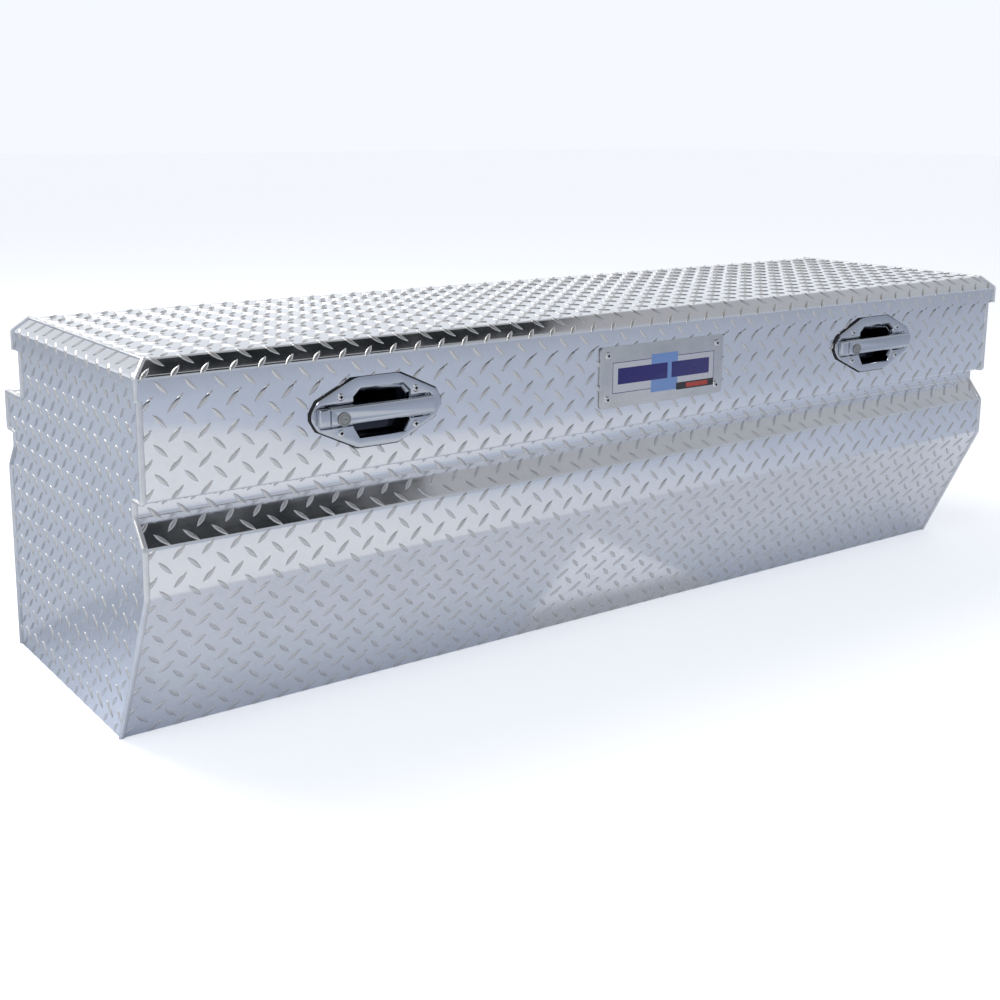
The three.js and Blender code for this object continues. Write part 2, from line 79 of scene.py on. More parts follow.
X_AXIS = Vector((1, 0, 0))
Y_AXIS = Vector((0, 1, 0))

log = logging.getLogger("tool_box")
Piece = bpy.types.Object
Material = bpy.types.Material
Socket = bpy.types.NodeSocket
Span = tuple[float, float]
Triple = tuple[float, float, float]
Colour = tuple[float, float, float, float]
Sides = tuple[float, float, float, float]  # left, right, bottom and top
Outline = Sequence[Span]


class Across(Enum):
    """The axis that an outline is drawn across, as the columns that its two numbers and its depth fill."""

    X = (1, 2, 0)
    Y = (0, 2, 1)
    Z = (0, 1, 2)


class Operation(Enum):
    """How one solid is combined with another."""

    CUT = "DIFFERENCE"
    JOIN = "UNION"
    KEEP_COMMON = "INTERSECT"


# ---- The bench: modelling steps shared by every piece ---------------------------------------


def deselect() -> None:
    """Leaves edit mode and selects nothing."""
    active = bpy.context.view_layer.objects.active
    if active is not None and active.mode != "OBJECT":
        bpy.ops.object.mode_set(mode="OBJECT")
    bpy.ops.object.select_all(action="DESELECT")


def activate(piece: Piece) -> None:
    """Makes a piece the only selected object and the active one."""
    deselect()
    piece.select_set(True)
    bpy.context.view_layer.objects.active = piece


@contextmanager
def editing(piece: Piece, select: str = "DESELECT") -> Iterator[None]:
    """Holds a piece in edit mode.

    Args:
        piece: The mesh object to edit.
        select: What is selected at the start, SELECT or DESELECT.
    """
    activate(piece)
    bpy.ops.object.mode_set(mode="EDIT")
    bpy.ops.mesh.select_mode(type="FACE")
    bpy.ops.mesh.select_all(action=select)
    yield
    bpy.ops.object.mode_set(mode="OBJECT")


def pick_faces(piece: Piece, test: Callable[[bmesh.types.BMFace], bool]) -> None:
    """Selects the faces that pass a test, and nothing else.

    Args:
        piece: The object in edit mode.
        test: Says whether a face is wanted.
    """
    bpy.ops.mesh.select_mode(type="FACE")
    bpy.ops.mesh.select_all(action="DESELECT")
    shape = bmesh.from_edit_mesh(piece.data)
    for face in shape.faces:
        face.select_set(test(face))
    bmesh.update_edit_mesh(piece.data)


def pick_edges(piece: Piece, test: Callable[[Vector, Vector], bool]) -> None:
    """Selects the edges that pass a test, and nothing else.

    Args:
        piece: The object in edit mode.
        test: Says from an edge's middle and unit direction whether it is wanted.
    """
    bpy.ops.mesh.select_mode(type="EDGE")
    bpy.ops.mesh.select_all(action="DESELECT")
    shape = bmesh.from_edit_mesh(piece.data)
    for edge in shape.edges:
        start, end = (vertex.co for vertex in edge.verts)
        edge.select_set(test((start + end) / 2, (end - start).normalized()))
    bmesh.update_edit_mesh(piece.data)


def named(name: str) -> Piece:
    """Names the primitive that was just added and applies its place."""
    bpy.ops.object.transform_apply(location=True, rotation=True, scale=True)
    piece = bpy.context.object
    piece.name = name
    piece.data.name = name
    return piece


def box(name: str, low: Vector, high: Vector) -> Piece:
    """Adds a block between two corners."""
    deselect()
    bpy.ops.mesh.primitive_cube_add(size=1, location=(low + high) / 2, scale=high - low)
    return named(name)


def placed(across: Across, first: float, second: float, depth: float) -> Vector:
    """The point that an outline's two numbers and a depth stand for."""
    point = Vector()
    for column, value in zip(across.value, (first, second, depth)):
        point[column] = value
    return point


def prism(name: str, outline: Outline, across: Across, low: float, high: float,
          far: Outline | None = None) -> Piece:
    """Draws an outline and extrudes it.

    Args:
        name: The piece's name.
        outline: The corners, in order.
        across: The axis that the outline is extruded along.
        low: Where the extrusion starts.
        high: Where it ends.
        far: The corners of the far end, in the same order, where it differs.

    Returns:
        The solid.
    """
    deselect()
    bpy.ops.mesh.primitive_circle_add(vertices=len(outline), radius=1, fill_type="NGON")
    piece = named(name)
    for vertex, (first, second) in zip(piece.data.vertices, outline):
        vertex.co = placed(across, first, second, low)
    with editing(piece, "SELECT"):
        move = placed(across, 0, 0, high - low)
        bpy.ops.mesh.extrude_region_move(TRANSFORM_OT_translate={"value": move})
    if far is not None:
        ends = {placed(across, *corner, high).freeze(): placed(across, *moved, high)
                for corner, moved in zip(outline, far)}
        for vertex in piece.data.vertices:
            nearest = min(ends, key=lambda end: (end - vertex.co).length)
            if (nearest - vertex.co).length < CLOSE:
                vertex.co = ends[nearest]
    with editing(piece, "SELECT"):
        bpy.ops.mesh.normals_make_consistent(inside=False)
    return piece


def ring_outline(radius: float, sides: int, centre: Span = (0, 0)) -> Outline:
    """The corners of a regular polygon round a centre."""
    turns = [2 * math.pi * step / sides for step in range(sides)]
    return [(centre[0] + radius * math.cos(turn), centre[1] + radius * math.sin(turn)) for turn in turns]


def rectangle(left: float, right: float, bottom: float, top: float) -> Outline:
    """The corners of a rectangle."""
    return [(left, bottom), (right, bottom), (right, top), (left, top)]


def turned(name: str, profile: Outline, origin: Vector, axis: Vector, steps: int = 40) -> Piece:
    """Spins a profile into a round piece.

    Args:
        name: The piece's name.
        profile: Radius and height of each corner, starting and ending on the axis.
        origin: The point of height 0 on the axis.
        axis: The direction of the axis.
        steps: Faces round the piece.

    Returns:
        The solid.
    """
    deselect()
    bpy.ops.mesh.primitive_circle_add(vertices=len(profile), radius=1, fill_type="NOTHING")
    piece = named(name)
    axis = axis.normalized()
    outwards = axis.orthogonal().normalized()
    for vertex, (radius, height) in zip(piece.data.vertices, profile):
        vertex.co = origin + outwards * radius + axis * height
    with editing(piece, "SELECT"):
        bpy.ops.mesh.select_mode(type="VERT")
        bpy.ops.mesh.select_all(action="SELECT")
        bpy.ops.mesh.spin(steps=steps, angle=2 * math.pi, center=origin, axis=axis)
        bpy.ops.mesh.select_all(action="SELECT")
        bpy.ops.mesh.remove_doubles(threshold=CLOSE)
        bpy.ops.mesh.normals_make_consistent(inside=False)
    return piece


def bevel_edges(piece: Piece, test: Callable[[Vector, Vector], bool], width: float,
                segments: int = 3) -> None:
    """Rounds the edges that pass a test.

    Args:
        piece: The object.
        test: Says from an edge's middle and direction whether it is wanted.
        width: How far the round reaches on each side.
        segments: Faces across the round.
    """
    with editing(piece):
        pick_edges(piece, test)
        bpy.ops.mesh.bevel(offset=width, segments=segments, affect="EDGES", clamp_overlap=True)


def apply_modifiers(piece: Piece) -> None:
    """Applies a piece's modifiers in order."""
    activate(piece)
    for modifier in list(piece.modifiers):
        bpy.ops.object.modifier_apply(modifier=modifier.name)


def combine(piece: Piece, tool: Piece, operation: Operation) -> Piece:
    """Cuts, joins or intersects a piece with a tool, which is used up.

    Args:
        piece: The solid that is kept.
        tool: The other solid.
        operation: What is done with the two.

    Returns:
        The piece.
    """
    modifier = piece.modifiers.new("combine", "BOOLEAN")
    modifier.object = tool
    modifier.operation = operation.value
    modifier.solver = "MANIFOLD"
    apply_modifiers(piece)
    bpy.data.objects.remove(tool)
    return piece


def ease(piece: Piece, width: float, segments: int = 2, angle: float = 32) -> None:
    """Rounds every sharp edge of a piece a little.

    Args:
        piece: The object.
        width: How far the round reaches on each side.
        segments: Faces across the round.
        angle: The least angle in degrees between two faces that counts as sharp.
    """
    with editing(piece, "SELECT"):
        bpy.ops.mesh.remove_doubles(threshold=CLOSE)
        bpy.ops.mesh.dissolve_limited(angle_limit=FLAT)
    modifier = piece.modifiers.new("ease", "BEVEL")
    modifier.width = width
    modifier.segments = segments
    modifier.limit_method = "ANGLE"
    modifier.angle_limit = math.radians(angle)
    modifier.use_clamp_overlap = True
    apply_modifiers(piece)


def repeat_piece(piece: Piece, count: int, step: Triple, merge: float = 0.0) -> None:
    """Gives a piece a modifier that repeats it.

    Args:
        piece: The object.
        count: How many there are in the end.
        step: The way from one to the next.
        merge: How near two points must be to become one, if that is wanted.
    """
    repeat = piece.modifiers.new("repeat", "ARRAY")
    repeat.count = count
    repeat.use_relative_offset = False
    repeat.use_constant_offset = True
    repeat.constant_offset_displace = step
    if merge:
        repeat.use_merge_vertices = True
        repeat.merge_threshold = merge


def join_pieces(pieces: Sequence[Piece]) -> Piece:
    """Joins pieces into the first of them."""
    activate(pieces[0])
    for piece in pieces[1:]:
        piece.select_set(True)
    bpy.ops.object.join()
    return pieces[0]


@dataclass(frozen=True)
class Dressing:
    """What a finished piece wears and what it belongs to."""

    material: Material
    slot: str
    body: str
    replaces: tuple[str, ...] = ()
    smooth_angle: float = 32.0
    second: Material | None = None
    second_faces: Callable[[Vector], bool] | None = None  # told the middle of a face

    def put_on(self, piece: Piece) -> Piece:
        """Shades a piece, gives it its material and fastens it to its body."""
        activate(piece)
        piece.data.materials.clear()
        piece.data.materials.append(self.material)
        if self.second is not None and self.second_faces is not None:
            piece.data.materials.append(self.second)
            for face in piece.data.polygons:
                face.material_index = int(self.second_faces(face.center))
        bpy.ops.object.shade_smooth_by_angle(angle=math.radians(self.smooth_angle))
        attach(piece, self.body)
        if self.replaces:
            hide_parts(*self.replaces)
        log.info("%s: %d faces on %s", piece.name, len(piece.data.polygons), self.body)
        return piece


# ---- Finishes -------------------------------------------------------------------------------


class Nodes:
    """A node tree with short ways to add and wire its nodes."""

    def __init__(self, tree: bpy.types.NodeTree) -> None:
        """Starts from an empty tree."""
        self.tree = tree
        tree.nodes.clear()

    def add(self, kind: str, wires: dict | None = None, **settings: object) -> bpy.types.Node:
        """Adds a node.

        Args:
            kind: The node's type.
            wires: What goes into its sockets, by name or number: an output socket or a plain value.
            settings: The node's own properties.

        Returns:
            The node.
        """
        node = self.tree.nodes.new(kind)
        for key, value in settings.items():
            setattr(node, key, value)
        for key, value in (wires or {}).items():
            if isinstance(value, Socket):
                self.tree.links.new(value, node.inputs[key])
            else:
                node.inputs[key].default_value = value
        return node

    def math(self, operation: str, *values: object) -> Socket:
        """Adds a Math node and gives its result."""
        return self.add("ShaderNodeMath", dict(enumerate(values)), operation=operation).outputs[0]

    def place(self) -> Socket:
        """Adds the piece's own coordinates."""
        return self.add("ShaderNodeTexCoord").outputs["Object"]

    def group(self, tree: bpy.types.NodeTree, wires: dict) -> bpy.types.Node:
        """Adds a node group and fills its inputs."""
        return self.add("ShaderNodeGroup", wires, node_tree=tree)

    def link(self, source: Socket, target: Socket) -> None:
        """Wires one socket to another."""
        self.tree.links.new(source, target)

    def between(self, value: object, low: Span, high: Span) -> Socket:
        """Adds a clamped Map Range from one span of values to another and gives its result."""
        wires = {"Value": value, "From Min": low[0], "From Max": low[1],
                 "To Min": high[0], "To Max": high[1]}
        return self.add("ShaderNodeMapRange", wires).outputs["Result"]

    def noise(self, vector: object, scale: object, detail: float = 2.0) -> Socket:
        """Adds a Noise texture and gives its value."""
        wires = {"Vector": vector, "Scale": scale, "Detail": detail}
        return self.add("ShaderNodeTexNoise", wires).outputs["Fac"]

    def mix(self, share: object, first: object, second: object) -> Socket:
        """Adds a colour Mix and gives its result."""
        return self.add("ShaderNodeMix", {0: share, 6: first, 7: second}, data_type="RGBA").outputs[2]


def new_material(name: str) -> tuple[Material, Nodes]:
    """Makes a material and gives it with its empty nodes."""
    material = bpy.data.materials.new(name)
    material.use_nodes = True
    return material, Nodes(material.node_tree)


def new_group(name: str, inputs: Sequence[tuple[str, str, float]], outputs: Sequence[str]
              ) -> tuple[bpy.types.NodeTree, Nodes, bpy.types.Node]:
    """Makes an empty shader node group.

    Args:
        name: The group's name.
        inputs: The name, kind and start value of each input.
        outputs: The names of its outputs, which are all numbers.

    Returns:
        The group, its nodes and its input node.
    """
    tree = bpy.data.node_groups.new(name, "ShaderNodeTree")
    for label, kind, start in inputs:
        socket = tree.interface.new_socket(label, in_out="INPUT", socket_type=f"NodeSocket{kind}")
        if kind == "Float":
            socket.default_value = start
    for label in outputs:
        tree.interface.new_socket(label, in_out="OUTPUT", socket_type="NodeSocketFloat")
    nodes = Nodes(tree)
    return tree, nodes, nodes.add("NodeGroupInput")


def rolled_metal_group() -> bpy.types.NodeTree:
    """Mill-finished sheet: slow waves, cloudy patches and fine grain along X."""
    inputs = [("Vector", "Vector", 0), ("Wave Scale", "Float", 6), ("Grain Scale", "Float", 400),
              ("Low Roughness", "Float", 0.15), ("High Roughness", "Float", 0.35),
              ("Wave Share", "Float", 0.5)]
    patch_scale, smear_scale, patch_share = 9.0, 38.0, 0.65
    grain_roughness, grain_height, grain_tone = 0.06, 0.012, 0.3
    tree, nodes, start = new_group("rolled_metal", inputs, ("Roughness", "Height", "Tone"))
    vector = start.outputs["Vector"]
    drawn_out = nodes.add("ShaderNodeMapping", {"Vector": vector, "Scale": (0.04, 1, 1)}).outputs[0]
    wave = nodes.noise(vector, start.outputs["Wave Scale"], 1.5)
    patch = nodes.noise(vector, patch_scale, 4.0)
    smear = nodes.noise(vector, smear_scale, 3.0)
    grain = nodes.noise(drawn_out, start.outputs["Grain Scale"], 3.0)
    cloudy = nodes.math("ADD", nodes.math("MULTIPLY", patch, patch_share),
                        nodes.math("MULTIPLY", smear, 1 - patch_share))
    share = nodes.between(cloudy, (0.35, 0.65), (0, 1))
    span = nodes.math("SUBTRACT", start.outputs["High Roughness"], start.outputs["Low Roughness"])
    rough = nodes.math("MULTIPLY_ADD", share, span, start.outputs["Low Roughness"])
    rough = nodes.math("MULTIPLY_ADD", grain, grain_roughness, rough)
    waves = nodes.math("MULTIPLY", wave, start.outputs["Wave Share"])
    height = nodes.math("MULTIPLY_ADD", grain, grain_height, waves)
    tone = nodes.math("MULTIPLY_ADD", grain, grain_tone, nodes.math("MULTIPLY", share, 1 - grain_tone))
    nodes.add("NodeGroupOutput", {"Roughness": rough, "Height": height, "Tone": tone})
    return tree


def edge_wear_group() -> bpy.types.NodeTree:
    """Rubbed edges: a mask that is high on outer edges, broken up by noise."""
    inputs = [("Vector", "Vector", 0), ("Amount", "Float", 1), ("Break Up", "Float", 120)]
    tree, nodes, start = new_group("edge_wear", inputs, ("Mask",))
    sharp = nodes.between(nodes.add("ShaderNodeNewGeometry").outputs["Pointiness"], (0.5, 0.6), (0, 1))
    speckle = nodes.noise(start.outputs["Vector"], start.outputs["Break Up"], 3)
    broken = nodes.between(speckle, (0.35, 0.6), (0.2, 1))
    mask = nodes.math("MULTIPLY", nodes.math("MULTIPLY", sharp, broken), start.outputs["Amount"])
    nodes.add("NodeGroupOutput", {"Mask": mask})
    return tree


def dust_group() -> bpy.types.NodeTree:
    """Settled dust: a mask that is high on faces that look up, in patches."""
    inputs = [("Vector", "Vector", 0), ("Amount", "Float", 0.2), ("Patch Scale", "Float", 14)]
    tree, nodes, start = new_group("dust", inputs, ("Mask",))
    normal = nodes.add("ShaderNodeNewGeometry").outputs["Normal"]
    normal = nodes.add("ShaderNodeSeparateXYZ", {0: normal})
    facing_up = nodes.between(normal.outputs["Z"], (0.2, 1), (0, 1))
    patches = nodes.noise(start.outputs["Vector"], start.outputs["Patch Scale"], 5)
    patchy = nodes.between(patches, (0.4, 0.75), (0, 1))
    mask = nodes.math("MULTIPLY", nodes.math("MULTIPLY", facing_up, patchy), start.outputs["Amount"])
    nodes.add("NodeGroupOutput", {"Mask": mask})
    return tree


def printed_box_group() -> bpy.types.NodeTree:
    """A printed rectangle on a plate that faces along Y: 1 inside it and 0 outside."""
    inputs = [("Vector", "Vector", 0), ("Centre X", "Float", 0), ("Centre Z", "Float", 0),
              ("Half Width", "Float", 0.05), ("Half Height", "Float", 0.02)]
    tree, nodes, start = new_group("printed_box", inputs, ("Mask",))
    place = nodes.add("ShaderNodeSeparateXYZ", {0: start.outputs["Vector"]})
    masks = []
    for axis, side in (("X", "Half Width"), ("Z", "Half Height")):
        away = nodes.math("SUBTRACT", place.outputs[axis], start.outputs[f"Centre {axis}"])
        away = nodes.math("ABSOLUTE", away)
        masks.append(nodes.math("LESS_THAN", away, start.outputs[side]))
    nodes.add("NodeGroupOutput", {"Mask": nodes.math("MULTIPLY", *masks)})
    return tree


@dataclass(frozen=True)
class SharedEffects:
    """The node groups that more than one finish uses."""

    rolled: bpy.types.NodeTree = field(default_factory=rolled_metal_group)
    wear: bpy.types.NodeTree = field(default_factory=edge_wear_group)
    dust: bpy.types.NodeTree = field(default_factory=dust_group)
    print: bpy.types.NodeTree = field(default_factory=printed_box_group)


@dataclass(frozen=True)
class Metal:
    """A metal finish with waves, patches, grain, rubbed edges and a little dust."""

    name: str
    light: Colour
    dark: Colour
    low_roughness: float
    high_roughness: float
    wave_scale: float = 6.0
    wave_share: float = 0.5
    grain_scale: float = 400.0
    bump: float = 0.2
    bump_distance: float = 0.001
    wear: float = 0.6
    dust: float = 0.12
    dust_colour: Colour = (0.62, 0.6, 0.56, 1)
    dust_roughness: float = 0.5  # how much rougher full dust makes the metal

    def nodes(self, effects: SharedEffects) -> tuple[Material, Nodes, bpy.types.Node, object]:
        """Builds the metal and leaves its parts open for more.

        Args:
            effects: The shared node groups.

        Returns:
            The material, its nodes, its shader and its colour socket.
        """
        material, nodes = new_material(self.name)
        place = nodes.place()
        metal = nodes.group(effects.rolled, {
            "Vector": place, "Wave Scale": self.wave_scale, "Wave Share": self.wave_share,
            "Grain Scale": self.grain_scale, "Low Roughness": self.low_roughness,
            "High Roughness": self.high_roughness})
        wear = nodes.group(effects.wear, {"Vector": place, "Amount": self.wear})
        dust = nodes.group(effects.dust, {"Vector": place, "Amount": self.dust})
        colour = nodes.mix(metal.outputs["Tone"], self.dark, self.light)
        colour = nodes.mix(wear.outputs["Mask"], colour, self.light)
        colour = nodes.mix(dust.outputs["Mask"], colour, self.dust_colour)
        rough = nodes.math("MULTIPLY_ADD", dust.outputs["Mask"], self.dust_roughness,
                           metal.outputs["Roughness"])
        bump = nodes.add("ShaderNodeBump", {
            "Height": metal.outputs["Height"], "Strength": self.bump, "Distance": self.bump_distance})
        shader = nodes.add("ShaderNodeBsdfPrincipled", {
            "Base Color": colour, "Roughness": rough, "Metallic": 1.0, "Normal": bump.outputs[0]})
        nodes.add("ShaderNodeOutputMaterial", {"Surface": shader.outputs[0]})
        return material, nodes, shader, colour

    def material(self, effects: SharedEffects) -> Material:
        """Builds the metal."""
        return self.nodes(effects)[0]


@dataclass(frozen=True)
class TreadMetal(Metal):
    """Bright rolled plate whose raised lugs are rougher than the sheet between them and carry painted
    shade, a darker colour that stands in for the shade on their steep sides.
    """

    # the darker colour of the painted shade on the lugs
    lug_shade_colour: Colour = (0.64, 0.63, 0.62, 1)
    lug_roughness: float = 0.22
    lug_shade_share: float = 0.85  # how much of the painted lug shade shows

    def material(self, effects: SharedEffects) -> Material:
        """Builds the plate with its rougher lugs and their painted shade."""
        material, nodes, shader, colour = self.nodes(effects)
        raised = nodes.add("ShaderNodeAttribute", attribute_name=RAISED).outputs["Fac"]
        rough = shader.inputs["Roughness"].links[0].from_socket
        # painted shade: the lugs are coloured darker where the raised attribute is 1
        colour = nodes.mix(nodes.math("MULTIPLY", raised, self.lug_shade_share), colour, self.lug_shade_colour)
        nodes.link(colour, shader.inputs["Base Color"])
        rougher = nodes.math("MULTIPLY_ADD", raised, self.lug_roughness - self.low_roughness, rough)
        nodes.link(rougher, shader.inputs["Roughness"])
        return material


@dataclass(frozen=True)
class ChromeWithPaintedShade(Metal):
    """Chrome with painted shade inside a deep pocket: its colour darkens with depth behind the wall's face,
    standing in for the little light that reaches there.
    """

    dark_from: float = 1.9 * MM  # how far behind the wall's face the painted shade starts
    dark_to: float = 4 * MM
    # the colour of the painted shade deep in the pocket
    shade: Colour = (0.04, 0.043, 0.06, 1)

    def material(self, effects: SharedEffects) -> Material:
        """Builds the chrome with the painted shade in its pocket."""
        material, nodes, shader, colour = self.nodes(effects)
        place = nodes.place()
        depth = nodes.add("ShaderNodeSeparateXYZ", {0: place}).outputs["Y"]
        # painted shade: the colour turns dark as the pocket goes deeper behind the wall's face
        share = nodes.between(depth, (FRONT + self.dark_from, FRONT + self.dark_to), (0, 1))
        nodes.link(nodes.mix(share, colour, self.shade), shader.inputs["Base Color"])
        return material


@dataclass(frozen=True)
class PrintedPlate(Metal):
    """Brushed plate with a printed field: a thin border, plain blocks and a small accent."""

    centre: Span = (0.0, 0.0)
    half_field: Span = (0.098, 0.022)
    white: Colour = (0.62, 0.63, 0.68, 1)
    blue: Colour = (0.022, 0.02, 0.17, 1)
    pale_blue: Colour = (0.2, 0.34, 0.68, 1)
    red: Colour = (0.5, 0.05, 0.03, 1)
    black: Colour = (0.012, 0.012, 0.015, 1)
    border: float = 0.9 * MM

    def material(self, effects: SharedEffects) -> Material:
        """Builds the plate with its print."""
        material, nodes, shader, colour = self.nodes(effects)
        place = nodes.place()
        wide, high = self.half_field
        x, z = self.centre
        line = self.border
        boxes = [
            ((x, z, wide, high), self.blue),
            ((x, z, wide - line, high - line), self.white),
            ((x, z, wide * 0.26, high * 1.25), self.pale_blue),
            ((x - wide * 0.42, z + high * 0.08, wide * 0.48, high * 0.52), self.blue),
            ((x + wide * 0.52, z + high * 0.08, wide * 0.38, high * 0.52), self.blue),
            ((x + wide * 0.62, z - high * 1.08, wide * 0.38, high * 0.24), self.black),
            ((x + wide * 0.66, z - high * 1.08, wide * 0.22, high * 0.15), self.red),
        ]
        printed: object = 0.0
        for (centre_x, centre_z, half_width, half_height), ink in boxes:
            mask = nodes.group(effects.print, {
                "Vector": place, "Centre X": centre_x, "Centre Z": centre_z,
                "Half Width": half_width, "Half Height": half_height})
            colour = nodes.mix(mask.outputs["Mask"], colour, ink)
            printed = nodes.math("MAXIMUM", printed, mask.outputs["Mask"])
        nodes.link(colour, shader.inputs["Base Color"])
        metallic = nodes.math("SUBTRACT", 1.0, printed)
        nodes.link(metallic, shader.inputs["Metallic"])
        return material


@dataclass(frozen=True)
class Rubber:
    """Matt black rubber with fine pores and pale dust."""

    name: str
    colour: Colour = (0.012, 0.012, 0.013, 1)
    dusty: Colour = (0.05, 0.05, 0.048, 1)
    dust: float = 0.7
    haze: float = 0.35  # how far the dust colour clouds the faces that hold no dust
    pore_scale: float = 900.0
    cloud_scale: float = 22.0

    def material(self, effects: SharedEffects) -> Material:
        """Builds the rubber."""
        material, nodes = new_material(self.name)
        place = nodes.place()
        dust = nodes.group(effects.dust, {"Vector": place, "Amount": self.dust})
        pores = nodes.noise(place, self.pore_scale, 4.0)
        cloud = nodes.noise(place, self.cloud_scale, 3.0)
        share = nodes.math("MULTIPLY_ADD", cloud, self.haze, dust.outputs["Mask"])
        bump = nodes.add("ShaderNodeBump", {"Height": pores, "Strength": 0.25, "Distance": 0.0004})
        wires = {"Base Color": nodes.mix(share, self.colour, self.dusty),
                 "Roughness": nodes.between(cloud, (0.3, 0.7), (0.5, 0.75)), "Normal": bump.outputs[0]}
        shader = nodes.add("ShaderNodeBsdfPrincipled", wires)
        nodes.add("ShaderNodeOutputMaterial", {"Surface": shader.outputs[0]})
        return material


@dataclass
class Finishes:
    """Every material of the tool box."""

    effects: SharedEffects = field(default_factory=SharedEffects)
    tread: Material = field(init=False)
    plain: Material = field(init=False)
    weld: Material = field(init=False)
    chrome: Material = field(init=False)
    # chrome with painted shade in the handle cups
    chrome_with_painted_shade: Material = field(init=False)
    steel: Material = field(init=False)
    # near black, as painted shade in the recesses of screws and rivets
    hollow: Material = field(init=False)
    zinc: Material = field(init=False)
    lock: Material = field(init=False)
    rubber: Material = field(init=False)
    paint: Material = field(init=False)
    plate: Material = field(init=False)

    def __post_init__(self) -> None:
        """Builds the materials."""
        chrome = {"light": (0.62, 0.65, 0.7, 1), "dark": (0.54, 0.57, 0.62, 1),
                  "low_roughness": 0.05, "high_roughness": 0.13,
                  "wave_scale": 14, "wave_share": 0.4, "bump": 0.25, "dust": 0.03}
        low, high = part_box("nameplate")
        print_centre = ((low.x + high.x) / 2 + 2 * MM, (low.z + high.z) / 2 - 1.7 * MM)
        finishes = {
            "tread": TreadMetal("bright_tread_aluminium", (0.84, 0.86, 0.9, 1), (0.76, 0.78, 0.82, 1),
                                0.06, 0.15, wave_scale=5.5, wave_share=0.9, bump=0.5,
                                bump_distance=0.0022),
            "plain": Metal("plain_sheet_aluminium", (0.78, 0.8, 0.83, 1), (0.58, 0.6, 0.63, 1),
                           0.28, 0.42, wave_share=0.3),
            "weld": Metal("weld_bead_aluminium", (0.9, 0.91, 0.92, 1), (0.66, 0.67, 0.69, 1),
                          0.3, 0.45, wave_scale=60, wave_share=0.4, wear=0.9),
            "chrome": Metal("polished_chrome", **chrome),
            "chrome_with_painted_shade": ChromeWithPaintedShade("polished_chrome_with_painted_pocket_shade", **chrome),
            "zinc": Metal("zinc_plated_steel", (0.62, 0.63, 0.62, 1), (0.4, 0.42, 0.44, 1),
                          0.3, 0.45, wave_scale=30, wave_share=0.2),
            "lock": Metal("satin_nickel", (0.42, 0.42, 0.41, 1), (0.32, 0.32, 0.31, 1),
                          0.24, 0.36, wave_scale=40, wave_share=0.2, dust=0.03),
            "steel": Metal("bright_screw_steel", (0.78, 0.79, 0.8, 1), (0.62, 0.63, 0.65, 1),
                           0.16, 0.28, wave_scale=40, wave_share=0.2, dust=0.02),
            # painted shade: near black, standing in for the shade inside screw and rivet recesses
            "hollow": Metal("painted_shade_in_recess", (0.03, 0.03, 0.032, 1), (0.015, 0.015, 0.016, 1),
                            0.5, 0.7, wave_scale=60, wave_share=0.2, dust=0.05),
            "paint": Metal("black_rod_finish", (0.05, 0.05, 0.055, 1), (0.02, 0.02, 0.022, 1),
                           0.2, 0.32, wave_scale=30, wave_share=0.2),
            "rubber": Rubber("black_rubber_seal"),
            "plate": PrintedPlate("brushed_printed_plate", (0.72, 0.73, 0.74, 1),
                                  (0.5, 0.51, 0.52, 1), 0.24, 0.36, wave_share=0.2,
                                  grain_scale=700, centre=print_centre,
                                  half_field=(98 * MM, 22 * MM))}
        for name, finish in finishes.items():
            setattr(self, name, finish.material(self.effects))


# ---- Tread plate: rolled flat, then bent ----------------------------------------------------


